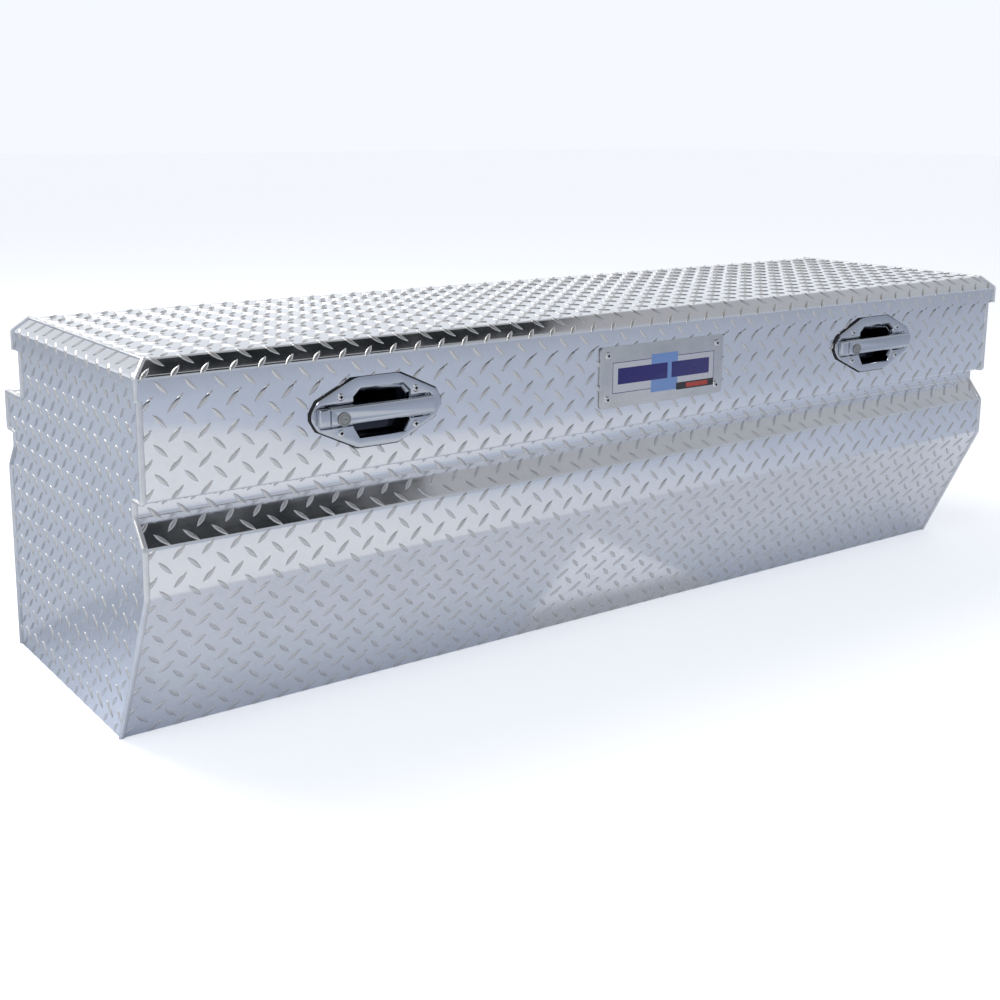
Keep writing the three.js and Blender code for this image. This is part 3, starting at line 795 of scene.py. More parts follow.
@dataclass
class FoldedPath:
    """The line that a sheet's outer face follows, with each corner bent to a small round.

    Flat points are (across, along, out): across runs along the fold lines, along follows the path
    and out stands off the sheet's outer face.
    """

    corners: list[Vector]
    across: Vector
    reach: float = 3 * MM  # how far a bend reaches along the sheet on each side of its corner
    steps: int = 4
    along: np.ndarray = field(init=False)
    points: np.ndarray = field(init=False)
    normals: np.ndarray = field(init=False)
    folds: list[float] = field(init=False)

    def __post_init__(self) -> None:
        """Works out the stations along the path."""
        self.folds = []
        points = [self.corners[0]]
        normals = [self.facing(self.corners[0], self.corners[1])]
        along = [0.0]
        for before, corner, after in zip(self.corners, self.corners[1:], self.corners[2:]):
            come, go = (corner - before).normalized(), (after - corner).normalized()
            angle = come.angle(go)
            radius = self.reach / math.tan(angle / 2)
            inwards = (go - come * come.dot(go)).normalized()
            start = corner - come * self.reach
            centre = start + inwards * radius
            along.append(along[-1] + (start - points[-1]).length)
            for step in range(self.steps + 1):
                turn = angle * step / self.steps
                points.append(centre - inwards * radius * math.cos(turn) + come * radius * math.sin(turn))
                normals.append(self.across.cross(come * math.cos(turn) + inwards * math.sin(turn)))
                if step:
                    along.append(along[-1] + radius * angle / self.steps)
                self.folds.append(along[-1])
        points.append(self.corners[-1])
        normals.append(self.facing(self.corners[-2], self.corners[-1]))
        along.append(along[-1] + (points[-1] - points[-2]).length)
        self.along = np.array(along)
        self.points = np.array([list(point) for point in points])
        self.normals = np.array([list(normal) for normal in normals])

    def facing(self, start: Vector, end: Vector) -> Vector:
        """The outward direction of the face between two corners."""
        return self.across.cross((end - start).normalized())

    @property
    def length(self) -> float:
        """The length of the sheet before it is bent."""
        return float(self.along[-1])

    def bend(self, piece: Piece) -> None:
        """Folds a flat piece along the path.

        Args:
            piece: The piece, in flat points.
        """
        with editing(piece):
            for fold in self.folds:
                bpy.ops.mesh.select_all(action="SELECT")
                bpy.ops.mesh.bisect(plane_co=(0, fold, 0), plane_no=(0, 1, 0))
        flat = np.empty(len(piece.data.vertices) * 3)
        piece.data.vertices.foreach_get("co", flat)
        flat = flat.reshape(-1, 3)
        where = np.clip(flat[:, 1], 0, self.length)
        beyond = (flat[:, 1] - where)[:, None]
        columns = [[np.interp(where, self.along, table[:, axis]) for axis in range(3)]
                   for table in (self.points, self.normals)]
        middle, out = (np.array(column).T for column in columns)
        out /= np.linalg.norm(out, axis=1)[:, None]
        forward = np.cross(out, np.array(self.across))
        bent = middle + out * flat[:, 2:] + np.array(self.across) * flat[:, :1] + forward * beyond
        piece.data.vertices.foreach_set("co", bent.ravel())
        piece.data.update()


@dataclass
class Tread:
    """The raised lugs of the plate: slanted lenses, turned one way and the other in a chequer."""

    length: float = 23.5 * MM
    width: float = 6 * MM
    height: float = 1.3 * MM
    sunk: float = 0.3 * MM
    sides: int = 12
    foot: float = 0.15  # the share of the height that rises straight
    steps: tuple[tuple[float, Triple], ...] = ((0.55, (0.9, 0.72, 1)), (0.3, (0.8, 0.5, 1)))
    pitch_across: float = 35.7 * MM
    pitch_along: float = 33.8 * MM

    def lug(self, slant: float) -> Piece:
        """Models one lug at the origin.

        Args:
            slant: Its turn in degrees.

        Returns:
            The lug.
        """
        turns = [2 * math.pi * step / self.sides for step in range(self.sides)]
        outline = [(self.length / 2 * math.cos(turn),
                    self.width / 2 * math.sin(turn) * abs(math.sin(turn))) for turn in turns]
        lug = prism("lug", outline, Across.Z, -self.sunk, self.height * self.foot)
        with editing(lug):
            for lift, share in self.steps:
                pick_faces(lug, lambda face: face.normal.z > 0.9)
                move = {"value": (0, 0, self.height * lift)}
                bpy.ops.mesh.extrude_region_move(TRANSFORM_OT_translate=move)
                bpy.ops.transform.resize(value=share)
            bpy.ops.mesh.select_all(action="SELECT")
            bpy.ops.transform.rotate(value=-math.radians(slant), orient_axis="Z",
                                     center_override=(0, 0, 0))
            bpy.ops.mesh.normals_make_consistent(inside=False)
        return lug

    def field(self, low: Span, high: Span,
              phase: Span) -> Piece:
        """Repeats the two lugs over a flat rectangle.

        Args:
            low: The least across and along that the lugs cover.
            high: The greatest.
            phase: Where one lug that slants up to the right lies.

        Returns:
            All lugs as one piece, in flat points.
        """
        pitches = (self.pitch_across, self.pitch_along)
        start = [edge - pitch + (shift - edge) % pitch
                 for edge, pitch, shift in zip(low, pitches, phase)]
        counts = [math.ceil((edge - first) / pitch) + 1
                  for edge, first, pitch in zip(high, start, pitches)]
        rising, falling = self.lug(45), self.lug(-45)
        for lug, shift in ((rising, 0.0), (falling, 0.5)):
            activate(lug)
            offset = (start[0] + shift * pitches[0], start[1] + shift * pitches[1], 0)
            bpy.ops.transform.translate(value=offset)
            bpy.ops.object.transform_apply(location=True, rotation=False, scale=False)
        cell = join_pieces([rising, falling])
        for count, step in zip(counts, ((pitches[0], 0, 0), (0, pitches[1], 0))):
            repeat_piece(cell, count, step)
        apply_modifiers(cell)
        raised = cell.data.attributes.new(RAISED, "FLOAT", "POINT")
        raised.data.foreach_set("value", np.ones(len(cell.data.vertices), np.float32))
        return cell


@dataclass
class TreadSheet:
    """One sheet of tread plate, from flat blank to bent panel."""

    name: str
    path: FoldedPath
    outline: Outline
    phase: Span
    dressing: Dressing
    holes: Sequence[Outline] = ()
    thickness: float = 2 * MM
    tread: Tread = field(default_factory=Tread)

    def build(self) -> Piece:
        """Cuts the blank and its lugs, joins them and bends them."""
        lift = self.tread.height + MM
        low = tuple(min(corner[axis] for corner in self.outline) for axis in (0, 1))
        high = tuple(max(corner[axis] for corner in self.outline) for axis in (0, 1))
        blank = prism(self.name, self.outline, Across.Z, -self.thickness, 0)
        lugs = self.tread.field(low, high, self.phase)
        combine(lugs, prism("trim", self.outline, Across.Z, -lift, lift), Operation.KEEP_COMMON)
        for hole in self.holes:
            for part in (blank, lugs):
                combine(part, prism("cutter", hole, Across.Z, -2 * lift, 2 * lift), Operation.CUT)
        sheet = join_pieces([blank, lugs])
        self.path.bend(sheet)
        return self.dressing.put_on(sheet)


@dataclass
class WeldBead:
    """A rippled bead of weld that follows a path."""

    name: str
    path: FoldedPath
    place: float  # across
    dressing: Dressing
    half_width: float = 3.8 * MM
    half_height: float = 2.3 * MM
    ripple: float = 2.4 * MM
    swell: float = 1.13
    sides: int = 12
    merge: float = 1e-5

    def build(self) -> Piece:
        """Models one ripple, repeats it and bends the bead."""
        deselect()
        bpy.ops.mesh.primitive_circle_add(vertices=self.sides, radius=1, fill_type="NOTHING")
        bead = named(self.name)
        for vertex, (wide, high) in zip(bead.data.vertices, ring_outline(1, self.sides)):
            vertex.co = (self.place + wide * self.half_width, 0, high * self.half_height)
        with editing(bead, "SELECT"):
            bpy.ops.mesh.select_mode(type="EDGE")
            bpy.ops.mesh.select_all(action="SELECT")
            for swell in (self.swell, 1 / self.swell):
                move = {"value": (0, self.ripple / 2, 0)}
                bpy.ops.mesh.extrude_region_move(TRANSFORM_OT_translate=move)
                bpy.ops.transform.resize(value=(swell, 1, swell))
        count = max(2, round(self.path.length / self.ripple))
        repeat_piece(bead, count, (0, self.ripple, 0), self.merge)
        apply_modifiers(bead)
        with editing(bead, "SELECT"):
            bpy.ops.mesh.select_mode(type="EDGE")
            bpy.ops.mesh.select_all(action="SELECT")
            bpy.ops.mesh.fill_holes(sides=0)
            bpy.ops.mesh.select_all(action="SELECT")
            bpy.ops.mesh.normals_make_consistent(inside=False)
        self.path.bend(bead)
        return self.dressing.put_on(bead)


# ---- Body -----------------------------------------------------------------------------------


@dataclass
class Body:
    """The welded shell: front, rear, floor and end sheets and their welds."""

    finishes: Finishes
    wedge_setback: float = 100 * MM
    wedge_top: float = 205 * MM
    slant: Span = (264 * MM, 296 * MM)
    groove_top: float = 317 * MM
    groove_depth: float = 26 * MM
    ledge_top: float = 370 * MM
    wall_top: float = 458 * MM
    upper_depth: float = 410 * MM
    depth: float = 480 * MM
    sheet: float = 2 * MM
    front_phase: Span = (-733 * MM, 426.5 * MM)  # where one lug lies, along and up
    rear_phase: Span = (0, 14 * MM)
    end_phase: Span = (12 * MM, 9 * MM)
    end_pitch: float = 34.5 * MM

    def profile(self, *points: Span) -> list[Vector]:
        """Turns distances from the front face and the ground into points."""
        return [Vector((0, FRONT + back, height)) for back, height in points]

    @property
    def front_corners(self) -> list[Vector]:
        """The front sheet's corners, from the ground up."""
        low, high = self.slant
        return self.profile((self.wedge_setback, 0), (0, self.wedge_top), (0, low),
                            (self.groove_depth, high), (self.groove_depth, self.groove_top),
                            (0, self.groove_top), (0, self.wall_top))

    @property
    def rear_corners(self) -> list[Vector]:
        """The rear sheet's corners, from the top down."""
        low, high = self.slant
        groove = self.depth - self.groove_depth
        return self.profile((self.upper_depth, self.wall_top), (self.upper_depth, self.ledge_top),
                            (self.depth, self.ledge_top), (self.depth, self.groove_top),
                            (groove, self.groove_top), (groove, high), (self.depth, low),
                            (self.depth, 0))

    def tread_dressing(self, *replaces: str) -> Dressing:
        """The dressing of a body sheet that stands for CAD nodes."""
        return Dressing(self.finishes.tread, "tread_plate", "box", replaces, TREAD_SMOOTH)

    def handle_holes(self, path: FoldedPath) -> list[Outline]:
        """The cut-outs of the front sheet behind both handles, in flat points."""
        holes = []
        shift = path.length - self.wall_top
        for side in SIDES:
            handle = Handle(side, self.finishes)
            middle = handle.centre
            holes.append([(middle.x + x * MM, middle.z + z * MM + shift) for x, z in handle.cutout])
        return holes

    def build_front(self) -> None:
        """Makes the front sheet."""
        low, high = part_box("front_panel")
        path = FoldedPath(self.front_corners, X_AXIS)
        outline = rectangle(low.x, high.x, 0, path.length)
        phase = (self.front_phase[0], path.length - (self.wall_top - self.front_phase[1]))
        TreadSheet("front_tread_sheet", path, outline, phase, self.tread_dressing("front_panel"),
                   self.handle_holes(path)).build()

    def build_rear(self) -> None:
        """Makes the rear sheet."""
        low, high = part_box("rear_panel")
        path = FoldedPath(self.rear_corners, X_AXIS)
        outline = rectangle(low.x, high.x, 0, path.length)
        TreadSheet("rear_tread_sheet", path, outline, self.rear_phase,
                   self.tread_dressing("rear_panel")).build()

    def build_floor(self) -> None:
        """Makes the floor sheet, lifted so that its lugs end on the ground."""
        low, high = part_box("floor_panel")
        lift = Tread().height
        corners = [Vector((0, high.y, lift)), Vector((0, low.y, lift))]
        path = FoldedPath(corners, X_AXIS)
        outline = rectangle(low.x, high.x, 0, path.length)
        TreadSheet("floor_tread_sheet", path, outline, (0, 0),
                   self.tread_dressing("floor_panel")).build()

    def build_end(self, side: str) -> None:
        """Makes one end sheet."""
        way = 1 if side == "right" else -1
        low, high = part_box(f"end_panel_{side}")
        outer = high.x if way > 0 else low.x
        ends = [Vector((outer, 0, 0)), Vector((outer, 0, self.wall_top))]
        path = FoldedPath(ends, Vector((0, way, 0)))
        corners = [*self.front_corners, *self.rear_corners]
        outline = [(corner.y * way, corner.z) for corner in corners]
        TreadSheet(f"end_tread_sheet_{side}", path, outline, self.end_phase,
                   self.tread_dressing(f"end_panel_{side}"),
                   tread=Tread(pitch_across=self.end_pitch)).build()

    def build_welds(self) -> None:
        """Lays the beads down the four upright corners."""
        dressing = Dressing(self.finishes.weld, "plain_aluminium", "box", (), WELD_SMOOTH)
        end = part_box("end_panel_right")[1].x - self.sheet / 2
        for face, corners in (("front", self.front_corners), ("rear", self.rear_corners)):
            for side, way in (("left", -1), ("right", 1)):
                path = FoldedPath(corners, X_AXIS)
                WeldBead(f"{face}_corner_weld_{side}", path, way * end, dressing).build()

    def build(self) -> None:
        """Makes every body sheet and its welds."""
        self.build_front()
        self.build_rear()
        self.build_floor()
        for side in SIDES:
            self.build_end(side)
        self.build_welds()


# ---- Lid ------------------------------------------------------------------------------------


@dataclass
class Lid:
    """The lid: a folded skin, two end caps mitred to it and the beads on its corners."""

    finishes: Finishes
    bevel: float = 18 * MM
    skin_phase: Span = (-733 * MM, 12 * MM)  # where one lug lies, along and behind the front bevel
    cap_phase: Span = (0, 8 * MM)
    corner_bead: Span = (3 * MM, 2 * MM)  # half width and half height
    top_bead: Span = (2.6 * MM, 1.2 * MM)

    def __post_init__(self) -> None:
        """Reads the lid's box from the frame."""
        boxes = [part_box(node) for node in ("lid_skin", "lid_end_cap_left", "lid_end_cap_right")]
        self.low = Vector(min(low[axis] for low, _ in boxes) for axis in range(3))
        self.high = Vector(max(high[axis] for _, high in boxes) for axis in range(3))
        self.shoulder = self.high.z - self.bevel

    def dressing(self, *replaces: str) -> Dressing:
        """The dressing of a lid sheet."""
        return Dressing(self.finishes.tread, "tread_plate", "lid", replaces, TREAD_SMOOTH)

    def build_skin(self) -> None:
        """Makes the folded skin, with mitred corners at its bevels."""
        low, high, bevel = self.low, self.high, self.bevel
        corners = [(low.y, low.z), (low.y, self.shoulder), (low.y + bevel, high.z),
                   (high.y - bevel, high.z), (high.y, self.shoulder), (high.y, low.z)]
        path = FoldedPath([Vector((0, y, z)) for y, z in corners], X_AXIS)
        flange = self.shoulder - low.z
        slope = bevel * math.sqrt(2)
        half, inner = high.x, high.x - bevel
        rise = [(half, 0), (half, flange), (inner, flange + slope)]
        right = rise + [(x, path.length - s) for x, s in reversed(rise)]
        outline = right + [(-x, s) for x, s in reversed(right)]
        phase = (self.skin_phase[0], flange + slope + self.skin_phase[1])
        TreadSheet("lid_tread_skin", path, outline, phase, self.dressing("lid_skin")).build()

    def build_cap(self, side: str) -> None:
        """Makes one end cap."""
        way = 1 if side == "right" else -1
        low, high, bevel = self.low, self.high, self.bevel
        corners = [(high.x, low.z), (high.x, self.shoulder), (high.x - bevel, high.z)]
        path = FoldedPath([Vector((x * way, 0, z)) for x, z in corners], Vector((0, way, 0)))
        flange = self.shoulder - low.z
        rise = [(high.y, 0), (high.y, flange), (high.y - bevel, path.length)]
        fall = [(low.y + bevel, path.length), (low.y, flange), (low.y, 0)]
        outline = [(y * way, s) for y, s in rise + fall]
        TreadSheet(f"lid_tread_cap_{side}", path, outline, self.cap_phase,
                   self.dressing(f"lid_end_cap_{side}")).build()

    def build_welds(self) -> None:
        """Lays a bead up each corner and along its mitre, and along the end caps' top joints."""
        dressing = Dressing(self.finishes.weld, "plain_aluminium", "lid", (), WELD_SMOOTH)
        for side, way in (("left", -1), ("right", 1)):
            for face, y, out in (("front", self.low.y, -1), ("rear", self.high.y, 1)):
                corner = Vector((way * self.high.x, y, 0))
                inset = Vector((-way * self.bevel, -out * self.bevel, self.bevel))
                rise = Vector((0, 0, self.shoulder))
                corners = [corner + Vector((0, 0, self.low.z)), corner + rise, corner + rise + inset]
                across = Vector((-out, way, 0)).normalized()
                place = corner.dot(across)
                path = FoldedPath([point - across * place for point in corners], across, reach=2 * MM)
                WeldBead(f"lid_{face}_weld_{side}", path, place, dressing, *self.corner_bead).build()
            seam = way * (self.high.x - self.bevel)
            ends = [Vector((0, self.low.y + self.bevel, self.high.z)),
                    Vector((0, self.high.y - self.bevel, self.high.z))]
            path = FoldedPath(ends, X_AXIS)
            WeldBead(f"lid_top_weld_{side}", path, seam, dressing, *self.top_bead).build()

    def build(self) -> None:
        """Makes the lid's sheets and welds."""
        self.build_skin()
        for side in SIDES:
            self.build_cap(side)
        self.build_welds()


# ---- Handles --------------------------------------------------------------------------------


def dress_dimpled(piece: Piece, node: str, finishes: Finishes, dimple: Vector,
                  radius: float) -> None:
    """Dresses a screw or rivet in steel, with painted shade: a near-black finish on the faces of the hollow
    in the middle of its head.

    Args:
        piece: The screw or rivet, which points along Y.
        node: The name of the CAD node it stands for.
        finishes: The finishes of the part.
        dimple: The middle of the hollow's mouth.
        radius: The radius of the hollow.
    """
    def hollow(middle: Vector) -> bool:
        """Says whether a face lies in the hollow, which gets the painted shade."""
        across = math.hypot(middle.x - dimple.x, middle.z - dimple.z)
        return across < radius and dimple.y < middle.y < dimple.y + 2 * MM

    # the faces in the hollow get the near-black painted shade
    Dressing(finishes.steel, "lock_steel", "box", (node,), second=finishes.hollow,
             second_faces=hollow).put_on(piece)


@dataclass
class Handle:
    """One paddle handle: bezel with its cup, pull bar, fixed end cap, lock and screws.

    Every outline is in millimetres round the handle's centre: X along the box and Z up, with Y counted
    into the box from the wall's face.
    """

    side: str
    finishes: Finishes
    bezel: Outline = ((-29, -44.5), (29, -44.5), (85, -18), (93.5, -4), (93.5, 4), (85, 18),
                      (29, 44.5), (-29, 44.5), (-85, 18), (-93.5, 4), (-93.5, -4), (-85, -18))
    cup: Outline = ((-27, -33), (40, -33), (47.3, -18), (47.3, 20), (37, 30.5), (-25, 30.5),
                    (-36, 20), (-36, -18))
    throat: Outline = ((-24, -30), (37, -30), (44, -17), (44, 15), (37, 22.5), (-27, 22.5),
                       (-33, 16), (-33, -17))
    cutout: Outline = ((-38.5, -35.5), (50, -35.5), (50, -16.5), (77, -16.5), (77, -12.5),
                       (79, -12.5), (79, 0), (77, 0), (77, 4.5), (50, 4.5), (50, 33), (-38.5, 33),
                       (-38.5, 5), (-66.5, 5), (-66.5, -16), (-38.5, -16))
    bezel_y: Span = (-5.1, -2.1)
    trough: Sides = (-86, 80, -17, 14.5)
    trough_y: float = -3.4
    cup_back: float = 26.0
    cup_wall: float = 1.5
    bar: Sides = (-71.6, 76.4, -13.1, 11)
    bar_y: Span = (-15.0, -7.0)
    cap: Sides = (-86.5, -72.4, -12.3, 10.2)
    cap_y: Span = (-14.0, -5.4)
    pivot: Span = (71.9, 4.0)
    lock: Span = (-54.2, -4.0)
    screws: Outline = ((-53, 21.2), (-53, -23.4), (54.6, 21.2), (54.6, -24.2))
    plate_round: float = 5.0
    plate_slope: float = 2.6
    trough_spread: float = 2.2
    throat_reach: float = 7.0
    ears: Outline = ((-15.5, -11.5), (-1, 3))  # the bottom and top of each
    ear_half_width: float = 4.0
    ear_back: float = 4.0  # behind the pivot
    lug_slot: Sides = (-5, 8.5, -11.5, -1)  # from the pivot
    leg_slot: Sides = (49.5, 58.5, -11, -2)
    cam_slot: Sides = (-3.7, 3.7, -12, 0)  # from the lock
    lock_hole: float = 6.4
    grip_under: float = 7.0
    grip_over: float = 2.4
    grip_end: float = 1.8
    pivot_lug: Sides = (-3.5, 3.5, -11, -1.5)  # from the pivot
    shank: Sides = (52, 55, -10, -3)
    shank_back: float = 18.0
    foot: Sides = (52, 60, -10, -3)
    foot_y: Span = (16, 18.01)
    lock_bore: float = 5.2
    pin_bore: float = 2.3
    pin_z: Span = (-20, 6)
    cap_side: float = 3.4
    cap_end: float = 2.5
    lock_front: float = -16.8
    lock_profile: Outline = ((0, 0.3), (5.6, 0.3), (5.9, 0.8), (6.5, 0.8), (6.9, 0), (8.3, 0),
                             (8.75, 0.35), (8.9, 0.8), (8.9, 1.5), (4.8, 1.5), (4.8, 14.9), (0, 14.9))
    key_slot: Sides = (-2.9, 2.9, -0.6, 0.6)  # from the lock
    key_y: Span = (-18, -15.4)
    screw_profile: Outline = ((0, -0.5), (1.5, -0.5), (1.9, -1.7), (3.2, -1.6), (4.3, -1.1),
                              (4.9, -0.3), (5, 0), (2, 0), (2, 9.1), (0, 9.1))
    cross: Span = (2.5, 0.5)  # half the length and half the width of an arm

    @property
    def centre(self) -> Vector:
        """The middle of the bezel."""
        low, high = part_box(f"handle_bezel_{self.side}")
        return (low + high) / 2

    def at(self, x: float, y: float, z: float) -> Vector:
        """A point of the handle in metres."""
        return Vector((self.centre.x + x * MM, FRONT + y * MM, self.centre.z + z * MM))

    def plate(self, name: str, outline: Outline, front: float, back: float,
              far: Outline | None = None) -> Piece:
        """Extrudes an outline of the handle from one depth to another, where another may end it."""
        middle = self.centre
        near_end, far_end = ([(middle.x + x * MM, middle.z + z * MM) for x, z in corners]
                             for corners in (outline, far or outline))
        return prism(name, near_end, Across.Y, FRONT + front * MM, FRONT + back * MM,
                     far_end if far else None)

    def block(self, name: str, sides: Sides, depths: Span, spot: Span = (0, 0)) -> Piece:
        """Adds a block from its sides, counted from a spot, and its front and back."""
        (x, z), (left, right, bottom, top) = spot, sides
        return box(name, self.at(x + left, depths[0], z + bottom), self.at(x + right, depths[1], z + top))

    def bore(self, name: str, radius: float, front: float, back: float, x: float, z: float) -> Piece:
        """Adds a round cutter along Y."""
        return self.plate(name, ring_outline(radius, 32, (x, z)), front, back)

    def grown(self, outline: Outline, by: float) -> Outline:
        """An outline round the centre with every side moved outwards."""
        points = [Vector((*corner, 0)) for corner in outline]
        made = []
        for before, here, after in zip(points[-1:] + points[:-1], points, points[1:] + points[:1]):
            normals = [Vector((side.y, -side.x, 0)).normalized() for side in (here - before, after - here)]
            spread = (normals[0] + normals[1]) / (1 + normals[0].dot(normals[1]))
            made.append((here.x + spread.x * by, here.y + spread.y * by))
        return made

    def build_bezel(self) -> None:
        """Makes the bezel: a plate with a trough for the bar, and a deep cup behind it."""
        front, back = self.bezel_y
        piece = self.plate(f"handle_cup_bezel_{self.side}", self.bezel, front, back)
        bevel_edges(piece, lambda _, way: abs(way.y) > 0.99, self.plate_round * MM, 4)
        face = FRONT + front * MM
        bevel_edges(piece, lambda middle, _: abs(middle.y - face) < MM / 10, self.plate_slope * MM, 1)
        cup = self.plate("cup", self.grown(self.cup, self.cup_wall), back - 1, self.cup_back)
        combine(piece, cup, Operation.JOIN)
        left, right, bottom, top = self.trough
        edge = [(left + 5, bottom), (right - 5, bottom), (right, bottom + 6), (right, top - 5),
                (right - 5, top), (left + 5, top), (left, top - 5), (left, bottom + 6)]
        floor = self.grown(edge[::-1], self.trough_spread)[::-1]
        trough = self.plate("trough", edge, front - 0.8, self.trough_y, floor)
        combine(piece, trough, Operation.CUT)
        throat_depth = front + self.throat_reach
        mouth = self.plate("mouth", self.cup, front - 0.01, throat_depth, self.throat)
        combine(piece, mouth, Operation.CUT)
        pocket = self.plate("pocket", self.throat, throat_depth - 0.5, self.cup_back - self.cup_wall)
        combine(piece, pocket, Operation.CUT)
        pivot_x, pivot_y = self.pivot
        half = self.ear_half_width
        for bottom, top in self.ears:
            ear = self.block("ear", (-half, half, bottom, top), (back - 1, pivot_y + self.ear_back),
                             (pivot_x, 0))
            combine(piece, ear, Operation.JOIN)
        through = (front - 2, back + 1)
        for sides, spot in ((self.lug_slot, (pivot_x, 0)), (self.leg_slot, (0, 0)),
                            (self.cam_slot, self.lock)):
            combine(piece, self.block("slot", sides, through, spot), Operation.CUT)
        combine(piece, self.bore("hole", self.lock_hole, *through, *self.lock), Operation.CUT)
        ease(piece, 0.7 * MM, 3)
        replaced = (f"handle_bezel_{self.side}",)
        # the cup carries painted shade, darker with depth
        Dressing(self.finishes.chrome_with_painted_shade, "chrome", "box", replaced).put_on(piece)

    def round_end(self, piece: Piece, end: Vector, width: float, segments: int) -> None:
        """Rounds the edges of a bar's end face, which holds the given point of its front edge."""
        bevel_edges(piece, lambda middle, _: abs(middle.x - end.x) < MM / 10
                    and abs(middle.y - end.y) < 7 * MM, width * MM, segments)

    def build_bar(self) -> None:
        """Makes the pull bar: a full grip with the pivot lug and the latch leg behind it."""
        left, right, bottom, top = self.bar
        front, back = self.bar_y
        piece = self.block(f"handle_pull_bar_{self.side}", self.bar, self.bar_y)
        face = FRONT + front * MM
        height = (self.at(0, 0, bottom).z + self.at(0, 0, top).z) / 2
        bevel_edges(piece, lambda middle, way: abs(way.x) > 0.9 and abs(middle.y - face) < MM
                    and middle.z < height, self.grip_under * MM, 8)
        bevel_edges(piece, lambda middle, way: abs(way.x) > 0.9 and abs(middle.y - face) < MM
                    and middle.z > height, self.grip_over * MM, 4)
        self.round_end(piece, self.at(right, front, 0), self.grip_end, 3)
        pivot_x, pivot_y = self.pivot
        lug = self.block("lug", self.pivot_lug, (back - 1, pivot_y + self.ear_back), (pivot_x, 0))
        shank = self.block("shank", self.shank, (back - 1, self.shank_back))
        foot = self.block("foot", self.foot, self.foot_y)
        for part in (lug, shank, foot):
            combine(piece, part, Operation.JOIN)
        lock_bore = self.bore("bore", self.lock_bore, front - 1, back + 1, *self.lock)
        combine(piece, lock_bore, Operation.CUT)
        pin = self.at(pivot_x, pivot_y, 0)
        pin_bottom, pin_top = (self.at(0, 0, z).z for z in self.pin_z)
        pin_way = ring_outline(self.pin_bore * MM, 24, (pin.x, pin.y))
        combine(piece, prism("bore", pin_way, Across.Z, pin_bottom, pin_top), Operation.CUT)
        ease(piece, 0.5 * MM, 2)
        body, replaced = f"handle_{self.side}", (f"pull_bar_{self.side}",)
        Dressing(self.finishes.chrome, "chrome", body, replaced).put_on(piece)

    def build_cap(self) -> None:
        """Makes the fixed block at the bar's free end."""
        piece = self.block(f"handle_end_block_{self.side}", self.cap, self.cap_y)
        end = self.at(self.cap[0], self.cap_y[0], 0)
        bevel_edges(piece, lambda middle, way: abs(way.x) > 0.9 and abs(middle.y - end.y) < MM,
                    self.cap_side * MM, 6)
        self.round_end(piece, end, self.cap_end, 4)
        ease(piece, 0.4 * MM, 2)
        replaced = (f"handle_end_cap_{self.side}",)
        Dressing(self.finishes.chrome, "chrome", "box", replaced).put_on(piece)

    def build_lock(self) -> None:
        """Makes the lock: a rimmed face with a round plug, a key slot and the shaft behind it."""
        lock_x, lock_z = self.lock
        origin = self.at(lock_x, self.lock_front, lock_z)
        profile = [(radius * MM, y * MM) for radius, y in self.lock_profile]
        piece = turned(f"handle_lock_face_{self.side}", profile, origin, Y_AXIS)
        key = self.block("key", self.key_slot, self.key_y, self.lock)
        combine(piece, key, Operation.CUT)
        body, replaced = f"lock_{self.side}", (f"lock_plug_{self.side}",)
        Dressing(self.finishes.lock, "lock_steel", body, replaced).put_on(piece)

    def build_screws(self) -> None:
        """Makes the four domed screws with cross recesses."""
        front = self.bezel_y[0]
        profile = [(radius * MM, y * MM) for radius, y in self.screw_profile]
        for number, (x, z) in enumerate(self.screws, 1):
            node = f"bezel_screw_{self.side}_{number}"
            piece = turned(f"domed_{node}", profile, self.at(x, front, z), Y_AXIS, 28)
            for wide, high in (self.cross[::-1], self.cross):
                arm = self.block("cross", (-wide, wide, -high, high), (front - 3, front - 0.8), (x, z))
                combine(piece, arm, Operation.CUT)
            dress_dimpled(piece, node, self.finishes, self.at(x, front - 0.9, z), 1.9 * MM)

    def build(self) -> None:
        """Makes every piece of the handle."""
        self.build_bezel()
        self.build_bar()
        self.build_cap()
        self.build_lock()
        self.build_screws()


# ---- Nameplate, struts and the smaller hardware ---------------------------------------------


@dataclass
class Nameplate:
    """A brushed plate with a plain printed field, held by four domed rivets."""

    finishes: Finishes
    corner: float = 7 * MM
    rivet_radius: float = 5.5 * MM
    rivet_profile: Outline = ((0, -0.45), (0.28, -0.5), (0.36, -0.95), (0.55, -1), (0.8, -0.75),
                              (0.95, -0.35), (1, 0), (0.36, 0), (0.36, 1.2), (0, 1.2))
    dimple_height: float = 0.75  # shares of the rivet's height and radius
    dimple_radius: float = 0.33

    def build(self) -> None:
        """Makes the plate and its rivets."""
        low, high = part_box("nameplate")
        plate = box("brushed_nameplate", low, high)
        bevel_edges(plate, lambda _, way: abs(way.y) > 0.99, self.corner, 6)
        ease(plate, 0.6 * MM, 2)
        Dressing(self.finishes.plate, "name_plate", "box", ("nameplate",)).put_on(plate)
        for number in range(1, 5):
            node = f"nameplate_rivet_{number}"
            rivet_low, rivet_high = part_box(node)
            middle = (rivet_low + rivet_high) / 2
            height = low.y - rivet_low.y
            profile = [(self.rivet_radius * radius, height * rise) for radius, rise in self.rivet_profile]
            origin = Vector((middle.x, low.y, middle.z))
            rivet = turned(f"domed_{node}", profile, origin, Y_AXIS, 28)
            dimple = Vector((middle.x, low.y - height * self.dimple_height, middle.z))
            dress_dimpled(rivet, node, self.finishes, dimple, self.rivet_radius * self.dimple_radius)


